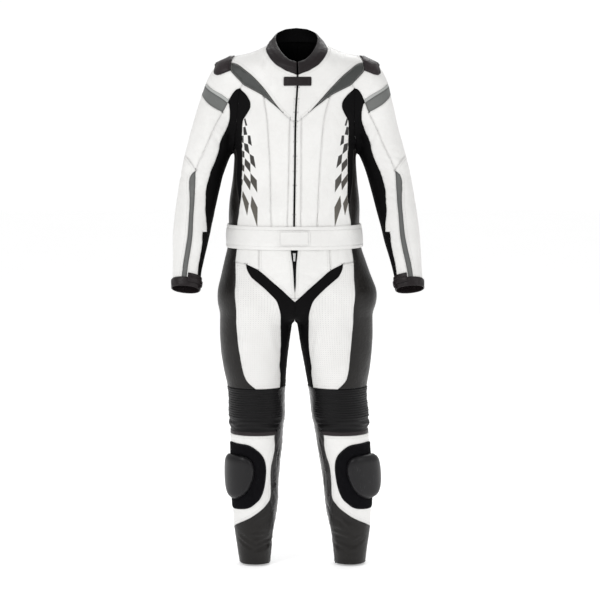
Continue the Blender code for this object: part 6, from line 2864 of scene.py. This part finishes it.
@dataclass
class FrontPatch:
    """A flat patch sewn across the middle of the front."""

    name: str
    node: str
    across: tuple[float, float]
    up: tuple[float, float]
    lift: float
    wall: float
    corner: float = 0.0
    finish: str = "white_leather"
    tone: str = ""
    inset: float = 2.6
    held: str = "stretched"

    FACE = 1.6
    ROLL, ROLL_WIDTH = 0.6, 1.6
    GROOVE, GROOVE_WIDTH = 0.35, 1.1
    CROWN = 0.5
    LOOP_POINTS = 200

    def corners(self, u: Array, v: Array) -> tuple[Array, Array, Array]:
        """Rounds the patch's corners.

        Args:
            u: The part across.
            v: The part up.

        Returns:
            The place across and up of each point, and the part in from the patch's edge.
        """
        half = np.array([np.ptp(self.across) / 2, np.ptp(self.up) / 2])
        parts = 2 * np.stack([u, v]) - 1
        spot = parts * half[:, None]
        if self.corner:
            inner = (half - self.corner)[:, None]
            over = np.clip(np.abs(spot) - inner, 0, None)
            far = np.hypot(*over)
            pull = np.where(far > 0, over.max(0) / np.maximum(far, 1e-9), 1)
            spot = np.sign(spot) * (np.minimum(np.abs(spot), inner) + over * pull)
        middle = sum(self.across) / 2, sum(self.up) / 2
        return spot[0] + middle[0], spot[1] + middle[1], 1 - np.abs(parts).max(0)

    def build(self) -> None:
        """Makes the patch and its stitches."""
        width, height = np.ptp(self.across), np.ptp(self.up)
        half = min(width, height) / 2

        def place(u: Array, v: Array) -> Array:
            """Sets the patch's points.

            Args:
                u: The part across.
                v: The part up.

            Returns:
                The points.
            """
            x, z, inner = self.corners(u, v)
            lift = np.full(len(x), self.lift + self.wall)
            if self.tone:
                rim = inner * half
                lift -= self.ROLL * (1 - smooth_step(0, self.ROLL_WIDTH, rim))
                lift -= self.GROOVE * np.exp(-(((rim - self.inset) / self.GROOVE_WIDTH) ** 2))
                lift += self.CROWN * smooth_step(self.inset, half, rim)
            return on_front(x, z, lift)

        faces = max(4, round(width / self.FACE)), max(4, round(height / self.FACE))
        mesh = mapped(self.name, place, faces, (width * MM, height * MM))
        if np.array([polygon.normal.y for polygon in mesh.polygons]).mean() > 0:
            mesh.flip_normals()
        piece = mesh_piece(mesh, [self.finish], [self.node], WARDROBE.slot_of(self.finish))
        give_wall(piece, self.wall)
        if self.tone:
            self.stitch(1 - self.inset / half)

    def stitch(self, share: float) -> None:
        """Sews once round the patch.

        Args:
            share: How far out from the patch's middle the row runs, as a part.
        """
        part = np.linspace(0, 1, self.LOOP_POINTS, endpoint=False)
        u, v = (
            np.clip(np.abs((part + shift) % 1 * 4 - 2) - 1, -0.5, 0.5) * 2 * share / 2 + 0.5
            for shift in (0, 0.25)
        )
        x, z, _ = self.corners(u, v)
        line = on_front(x, z, np.full(len(part), self.lift + self.wall - 0.2))
        line = evenly(line, THREADS.pitch * MM, closed=True)
        along = np.roll(line, -1, axis=0) - np.roll(line, 1, axis=0)
        THREADS.sew(f"tabs_{self.tone}", line, along, np.tile([0.0, -1.0, 0.0], (len(line), 1)))


@dataclass
class Collar:
    """The standing collar, softly padded, open at the front where the zip runs."""

    rim_side: float = 58
    rim_front: float = 84
    rim_back: float = 72
    rim_blend: tuple[float, float] = (75, 105)
    front_turn: float = 1.6
    roll: float = 2.6
    height: float = 60
    # turn from the front, height of the rim
    rim_heights: tuple = (
        (0, -8), (20, -2), (35, 8), (60, 30), (90, 56), (120, 70), (150, 79), (180, 82),
    )
    # part up from the seam, how far out in millimetres, once round the section
    section: tuple = (
        (0.02, -0.2), (0.08, 0.3), (0.3, 1.1), (0.6, 1.3), (0.85, 1.0), (0.95, 0.5), (1.0, -0.8),
        (1.0, -2.6), (0.95, -3.6), (0.7, -4.0), (0.4, -3.9), (0.1, -3.8), (-0.06, -3.6),
        (-0.1, -2.9), (-0.06, -2.2), (0.0, -1.6),
    )
    faces: tuple[int, int] = (220, 56)
    flat: tuple[float, float] = (0.45, 0.13)
    padding: float = 0.6
    stitch_rows: tuple[float, float] = (0.12, 0.9)
    stitch_turns: tuple[float, float, float] = (4, 356, 2.4)
    stitch_lift: float = 1.1
    tab_across: tuple[float, float] = (-36.5, 36.5)
    tab_up: tuple[float, float] = (-70, -47)
    # depth in millimetres, waves up the collar and the degrees of turn that move them
    dents: tuple = ((0.7, 9, 23, 0), (0.45, 15, -11, 1))
    outer_lift: tuple[float, float] = (-0.8, 0.6)
    dent_fade: float = 0.6

    INWARDS = -0.004

    def build(self) -> None:
        """Makes the collar, its stitches and its throat tab."""
        line = profile([(part * self.height, lift) for part, lift in self.section])

        def place(across: Array, up: Array) -> Array:
            """Sets the collar's points.

            Args:
                across: The part round the neck.
                up: The part round the section.

            Returns:
                The points.
            """
            row = line(up)
            turn = self.front_turn + across * (360 - 2 * self.front_turn)
            return FORM.posed(self.point(turn, row[:, 0] / self.height, row[:, 1]))

        mesh = mapped("collar_stand", place, self.faces, self.flat, tube=True, capped=True)
        inner = np.array([self.inside(polygon) for polygon in mesh.polygons])
        piece = mesh_piece(mesh, ["black_leather", "lining"], ["collar"], "black_leather")
        mesh.polygons.foreach_set("material_index", inner.astype(np.int32))
        turn = np.arange(*self.stitch_turns)
        out = rays_round(np.radians(turn), turn)[1]
        for part in self.stitch_rows:
            parts, lift = np.full(len(turn), part), np.full(len(turn), self.stitch_lift)
            places = FORM.posed(self.point(turn, parts, lift))
            THREADS.sew("collar_dark", places, np.gradient(places, axis=0), out)
        FrontPatch(
            "throat_tab_flap", "throat_tab", self.tab_across, self.tab_up,
            lift=0.6, wall=2.2, corner=3.0, finish="black_leather", tone="dark",
        ).build()

    def inside(self, polygon: bpy.types.MeshPolygon) -> bool:
        """Whether a face looks towards the neck."""
        return polygon.normal.xy.dot(polygon.center.xy) < self.INWARDS

    def point(self, turn: Array, part: Array, lift: Array) -> Array:
        """Points of the collar on the upright form.

        Args:
            turn: The turn from the front, in degrees.
            part: The part up it.
            lift: How far out, in millimetres.

        Returns:
            The points.
        """
        fold = np.where(turn > 180, 360 - turn, turn)
        base_height = np.interp(fold, *np.array(NECKLINE, float).T) * MM
        angle = np.radians(fold)
        origins, direction = rays_round(angle, base_height)
        base = FORM.cast(origins, direction)
        rim_height = np.interp(fold, *np.array(self.rim_heights, float).T)
        blend = smooth_step(*self.rim_blend, fold)
        depth = self.rim_front + (self.rim_back - self.rim_front) * blend
        rim = [np.sin(angle) * self.rim_side, -np.cos(angle) * depth, rim_height]
        points = base * (1 - part)[:, None] + np.column_stack(rim) * MM * part[:, None]
        dent = sum(
            deep * np.sin(part * waves + turn / swing + shift)
            for deep, waves, swing, shift in self.dents
        )
        fade = np.sin(math.pi * np.clip(part, 0, 1)) ** self.dent_fade
        outer = smooth_step(*self.outer_lift, lift) * fade
        out = self.roll * np.sin(math.pi * part) + lift + dent * outer
        points += direction * (out * MM)[:, None]
        points[:, 0] *= np.where(turn > 180, -1.0, 1.0)
        return points


@dataclass
class Cuff:
    """The padded ring at the end of a sleeve, and the strap that closes it."""

    # distance along the sleeve from the ring's top, and lift off the cloth, once round
    section: tuple = (
        (1, 1.0), (-0.3, 1.8), (0.2, 3.0), (2, 3.9), (8, 4.3), (16, 4.2), (22.5, 3.8),
        (24.6, 2.6), (24.2, 1.2), (18, 1.0), (9, 0.9),
    )
    top: float = 679
    faces: tuple[int, int] = (96, 30)
    flat: tuple[float, float] = (0.25, 0.06)
    padding: float = 0.5
    # turn, and how far below the ring's top the strap's lower and upper edges run
    strap: tuple = ((-132, 13, -9), (-90, 13, -10), (-50, 13, -11), (-6, 13, -12))
    strap_faces: tuple[int, int] = (60, 10)
    strap_flat: tuple[float, float] = (0.104, 0.024)
    strap_size: tuple[float, float] = (110, 15)
    strap_wall: float = 1.8
    # the strap's lift at its edge, further in, and where it climbs over the ring
    strap_lifts: tuple[float, float, float] = (3.4, 0.7, 3.2)
    # the middle of the sleeve's end, across and in depth
    middle: tuple[float, float] = (0.289, -0.085)

    def build(self, side: Side) -> None:
        """Makes the ring and the strap of one side.

        Args:
            side: The wearer's side.
        """
        node = f"cuff_{side.word}"
        sign = np.array([side.value, 1, 1])
        outline = profile(self.section)
        table = np.array(self.strap, float)

        def lifted(turn: Array, along: Array, lift: Array) -> Array:
            """Posed points of the sleeve's end.

            Args:
                turn: The turn from the front.
                along: How far below the ring's top, in millimetres.
                lift: How far off the cloth, in millimetres.

            Returns:
                The points.
            """
            spots = np.column_stack([turn * Sleeve.radius / MM, self.top + along])
            points = Sleeve().place(spots)
            return FORM.posed((points + FORM.normal(points) * (lift * MM)[:, None]) * sign)

        def ring(across: Array, up: Array) -> Array:
            """Sets the ring's points.

            Args:
                across: The part round the sleeve.
                up: The part round the section.

            Returns:
                The points.
            """
            along, lift = outline(up).T
            turn = across * 2 * math.pi
            dent = 0.35 * np.sin(turn * 9 + along / 5) * smooth_step(1.8, 3.6, lift)
            return lifted(turn, along, lift + dent)

        def flap(across: Array, up: Array) -> Array:
            """Sets the strap's points.

            Args:
                across: The part along the strap.
                up: The part up it.

            Returns:
                The points.
            """
            turn = table[0, 0] + across * (table[-1, 0] - table[0, 0])
            high, low = (np.interp(turn, table[:, 0], table[:, i]) for i in (2, 1))
            sides = np.minimum(across, 1 - across) * self.strap_size[0]
            rim = np.minimum(sides, np.minimum(up, 1 - up) * self.strap_size[1])
            along = high + (low - high) * up
            edge, face, climb = self.strap_lifts
            lift = edge + face * smooth_step(0, 2, rim) + climb * smooth_step(-3, 2, along)
            return lifted(np.radians(turn), along, lift)

        mesh = mapped(f"{node}_ring", ring, self.faces, self.flat, ring=True, tube=True)
        piece = mesh_piece(mesh, ["black_leather"], [node], "black_leather")
        mesh = mapped(f"{node}_strap", flap, self.strap_faces, self.strap_flat)
        face = mesh.polygons[len(mesh.polygons) // 2]
        middle = Vector((self.middle[0] * side.value, self.middle[1], face.center.z))
        if face.normal.dot(face.center - middle) < 0:
            mesh.flip_normals()
        piece = mesh_piece(mesh, ["black_leather"], [node], "black_leather")
        give_wall(piece, self.strap_wall)


@dataclass
class Zip:
    """A zip: its tape, and its row of teeth."""

    name: str
    across: float
    top: float
    foot: float
    finish: str = "dark_coil"
    lift: float = -4.2
    wall: float = 1.2
    tooth: tuple[float, float, float] = (1.8, 1.25, 0.9)
    tooth_bevel: float = 0.22
    pitch: float = 2.4
    margin: float = 2
    # parts of a tooth: its shift to its own side, its height off the tape, how deep it goes
    tooth_seat: tuple[float, float, float] = (0.2, 0.6, 1.6)

    def build(self) -> None:
        """Makes the tape and the teeth."""
        FrontPatch(
            f"{self.name}_tape", self.name, (-self.across / 2, self.across / 2),
            (self.foot, self.top), self.lift, self.wall, finish="zip_tape", held="hung",
        ).build()
        wide, high, deep = self.tooth
        aside, off, through_tape = self.tooth_seat
        height = np.arange(self.foot + self.margin, self.top - self.margin, self.pitch / 2)
        side = np.where(np.arange(len(height)) % 2, 1.0, -1.0)
        lift = np.full(len(height), self.lift + self.wall + deep * off)
        middle = on_front(side * wide * aside, height, lift)
        shape = bmesh.new()
        bmesh.ops.create_cube(shape, size=1.0)
        size = Vector((wide, deep * through_tape, high)) * MM
        bmesh.ops.scale(shape, vec=size, verts=shape.verts)
        bmesh.ops.bevel(
            shape, geom=shape.edges[:], offset=self.tooth_bevel * MM, segments=1, profile=0.5,
            affect="EDGES", material=-1,
        )
        mesh = scattered(f"{self.name}_teeth", shape, middle, np.eye(3))
        mesh_piece(mesh, [self.finish], [self.name], "zip_metal")


@dataclass
class FlyBar:
    """The short sewn bar across the foot of the fly."""

    across: tuple[float, float] = (-12, 12)
    height: float = -631
    lift: float = 0.6
    count: int = 9

    def build(self) -> None:
        """Sews the bar."""
        across = np.linspace(*self.across, self.count)
        height, lift = np.full(self.count, self.height), np.full(self.count, self.lift)
        places = on_front(across, height, lift)
        along = on_front(across + 0.5, height, lift) - places
        THREADS.sew("trousers_dark", places, along, np.cross(along, UP))
        LOG.info("fly_bar: %d stitches", self.count)


@dataclass
class Slider:
    """The fly zip's slider, with its bridge, and the pull that swings from it."""

    bevel: float = 0.6
    foot: float = 0.72
    # the bridge's height to its middle line, its thickness and how far it is sunk
    bridge: tuple[float, float, float] = (2.6, 0.9, 1.0)
    pull_faces: tuple[int, int] = (6, 14)
    pull_swell: float = 1.15
    pull_head: float = 0.05
    pull_waist: float = 0.72
    # half the hole's width as a part of the pull, and the parts up it where the hole lies
    hole: tuple[float, float, float] = (0.2, 0.64, 0.92)
    sharp: float = 40

    def build(self) -> None:
        """Makes the slider and its pull."""
        low, high = (Vector(corner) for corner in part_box("fly_slider"))
        pull_low, pull_high = (Vector(corner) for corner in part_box("fly_pull"))
        middle = (low + high) / 2
        shape = bmesh.new()
        bmesh.ops.create_cube(shape, size=1.0)
        bmesh.ops.scale(shape, vec=high - low, verts=shape.verts)
        foot = [vertex for vertex in shape.verts if vertex.co.z < 0]
        bmesh.ops.scale(shape, vec=(self.foot, 1, 1), verts=foot)
        bmesh.ops.bevel(
            shape, geom=shape.edges[:], offset=self.bevel * MM, segments=3, profile=0.5,
            affect="EDGES", material=-1,
        )
        bmesh.ops.translate(shape, vec=middle, verts=shape.verts)
        reach, thick, sunk = (value * MM for value in self.bridge)
        arch = bmesh.ops.create_circle(shape, cap_ends=False, radius=thick / 2, segments=10)
        arch = arch["verts"]
        bmesh.ops.translate(shape, vec=(0, 0, reach), verts=arch)
        bmesh.ops.spin(
            shape, geom=arch + list({edge for vertex in arch for edge in vertex.link_edges}),
            cent=(0, 0, 0), axis=(1, 0, 0), dvec=(0, 0, 0), angle=math.pi, steps=12,
            use_merge=False, use_normal_flip=False, use_duplicate=False,
        )
        bow = [vertex for vertex in shape.verts if vertex.co.length < 0.02]
        bmesh.ops.translate(shape, vec=(middle.x, low.y, pull_high.z - sunk), verts=bow)
        bmesh.ops.recalc_face_normals(shape, faces=shape.faces[:])
        self.finish(shape, "fly_slider_body", "fly_slider", SUIT)
        self.build_pull(pull_low, pull_high)

    def build_pull(self, low: Vector, high: Vector) -> None:
        """Makes the pull.

        Args:
            low: The least corner of its box.
            high: The greatest corner.
        """
        size, middle = high - low, (low + high) / 2
        columns, rows = self.pull_faces
        half_width, hole_foot, hole_top = self.hole
        shape = bmesh.new()
        bmesh.ops.create_grid(shape, x_segments=columns, y_segments=rows, size=0.5)
        turn = Matrix.Rotation(math.pi / 2, 3, "X")
        bmesh.ops.rotate(shape, cent=(0, 0, 0), matrix=turn, verts=shape.verts)
        bmesh.ops.scale(shape, vec=(size.x, 1, size.z), verts=shape.verts)
        for vertex in shape.verts:
            down = 1 - (vertex.co.z / size.z + 0.5)
            wide = math.sin(math.pi * min(1.0, down * self.pull_swell + self.pull_head)) ** 0.5
            vertex.co.x *= self.pull_waist + (1 - self.pull_waist) * wide
        hole = []
        for face in shape.faces:
            spot = face.calc_center_median()
            if abs(spot.x) < size.x * half_width and hole_foot < spot.z / size.z + 0.5 < hole_top:
                hole.append(face)
        bmesh.ops.delete(shape, geom=hole, context="FACES")
        bmesh.ops.solidify(shape, geom=shape.faces[:], thickness=size.y)
        bmesh.ops.recalc_face_normals(shape, faces=shape.faces[:])
        depths = [vertex.co.y for vertex in shape.verts]
        shift = Vector((0, (min(depths) + max(depths)) / 2, 0))
        bmesh.ops.translate(shape, vec=middle - shift, verts=shape.verts)
        self.finish(shape, "fly_pull_tab", "fly_pull", PULL)

    def finish(self, shape: bmesh.types.BMesh, name: str, node: str, body: str) -> None:
        """Makes one metal piece.

        Args:
            shape: Its shape, which is used up.
            name: The piece's name.
            node: The frame's solid that it stands for.
            body: The body that carries it.
        """
        mesh = bpy.data.meshes.new(name)
        shape.to_mesh(mesh)
        shape.free()
        mesh.shade_smooth()
        mesh.set_sharp_from_angle(angle=math.radians(self.sharp))
        mesh_piece(mesh, ["zip_metal"], [node], "zip_metal", body)


@dataclass
class Studio:
    """The pale floor, the soft light and the camera."""

    eye: tuple[float, float, float] = (0.0, -6.5, 0.05)
    aim: tuple[float, float, float] = (0.0107, 0.0, -0.648)
    lens: float = 145.3
    sensor: float = 36
    floor: float = -1.372
    floor_radius: float = 14
    floor_tones: tuple[Colour, Colour] = ((0.92, 0.92, 0.92), (0.95, 0.95, 0.95))
    floor_glow: float = 0.41
    # place, power, size
    lamps: tuple = (
        ((-2.6, -3.0, 2.6), 66, 1.5),
        ((3.2, -2.0, 1.0), 20, 2.2),
        ((0.6, 3.2, 2.4), 52, 2.4),
    )
    world: float = 0.62
    backdrop: float = 1.03

    def build(self) -> None:
        """Sets the studio up."""
        self.lay_floor()
        for number, (place, power, size) in enumerate(self.lamps):
            data = bpy.data.lights.new(f"lamp_{number}", "AREA")
            data.energy, data.size = power, size
            self.aimed(data, place)
        world = bpy.data.worlds.new("studio")
        world.use_nodes = True
        tree = world.node_tree
        sky = tree.nodes["Background"]
        sky.inputs["Color"].default_value = (1, 1, 1, 1)
        seen = tree.nodes.new("ShaderNodeLightPath").outputs["Is Camera Ray"]
        strength = tree.nodes.new("ShaderNodeMapRange")
        tree.links.new(seen, strength.inputs["Value"])
        strength.inputs["To Min"].default_value = self.world
        strength.inputs["To Max"].default_value = self.backdrop
        tree.links.new(strength.outputs["Result"], sky.inputs["Strength"])
        bpy.context.scene.world = world
        bpy.context.scene.view_settings.view_transform = "Standard"
        data = bpy.data.cameras.new("camera")
        data.lens, data.sensor_width = self.lens, self.sensor
        bpy.context.scene.camera = self.aimed(data, self.eye)

    def lay_floor(self) -> None:
        """Lays the floor under the suit."""
        shape = bmesh.new()
        bmesh.ops.create_circle(shape, cap_ends=True, radius=self.floor_radius, segments=64)
        bmesh.ops.translate(shape, vec=(0, 0, self.floor), verts=shape.verts)
        mesh = bpy.data.meshes.new("floor")
        shape.to_mesh(mesh)
        shape.free()
        paint = Paint("floor")
        tone = paint.mix(paint.noise(2, 2), *self.floor_tones)
        glow = {"Emission_Color": (1, 1, 1, 1), "Emission_Strength": self.floor_glow}
        mesh.materials.append(paint.finish(tone, 0.9, **glow))
        ground = bpy.data.objects.new("floor", mesh)
        bpy.context.scene.collection.objects.link(ground)

    def aimed(self, data: bpy.types.ID, place: tuple[float, float, float]) -> bpy.types.Object:
        """Sets a lamp or camera up, turned to the suit.

        Args:
            data: The lamp or camera.
            place: Where it stands.

        Returns:
            Its object.
        """
        made = bpy.data.objects.new(data.name, data)
        made.location = place
        toward = Vector(self.aim) - Vector(place)
        made.rotation_euler = toward.to_track_quat("-Z", "Y").to_euler()
        bpy.context.scene.collection.objects.link(made)
        return made


def main() -> None:
    """Builds the suit's looks over the frame."""
    logging.basicConfig(level=logging.INFO, format="%(name)s: %(message)s", stream=sys.stdout)
    Studio().build()
    drapes = {side: Drape(side) for side in Side}
    armhole = armhole_curve()
    Section("jacket", trunk_cutting(armhole), TRUNK_CUTS).build(drapes)
    Section("sleeves", sleeve_cutting(armhole), SLEEVE_CUTS).build(drapes)
    Section("trousers", leg_cutting(), LEG_CUTS).build(drapes)
    Belt().build()
    Collar().build()
    for side in Side:
        Cuff().build(side)
    Zip("jacket_zip", across=13, top=-60, foot=-468).build()
    Zip("fly_zip", across=23, top=-480, foot=-626).build()
    FlyBar().build()
    Slider().build()
    THREADS.make()


if __name__ == "__main__":
    main()
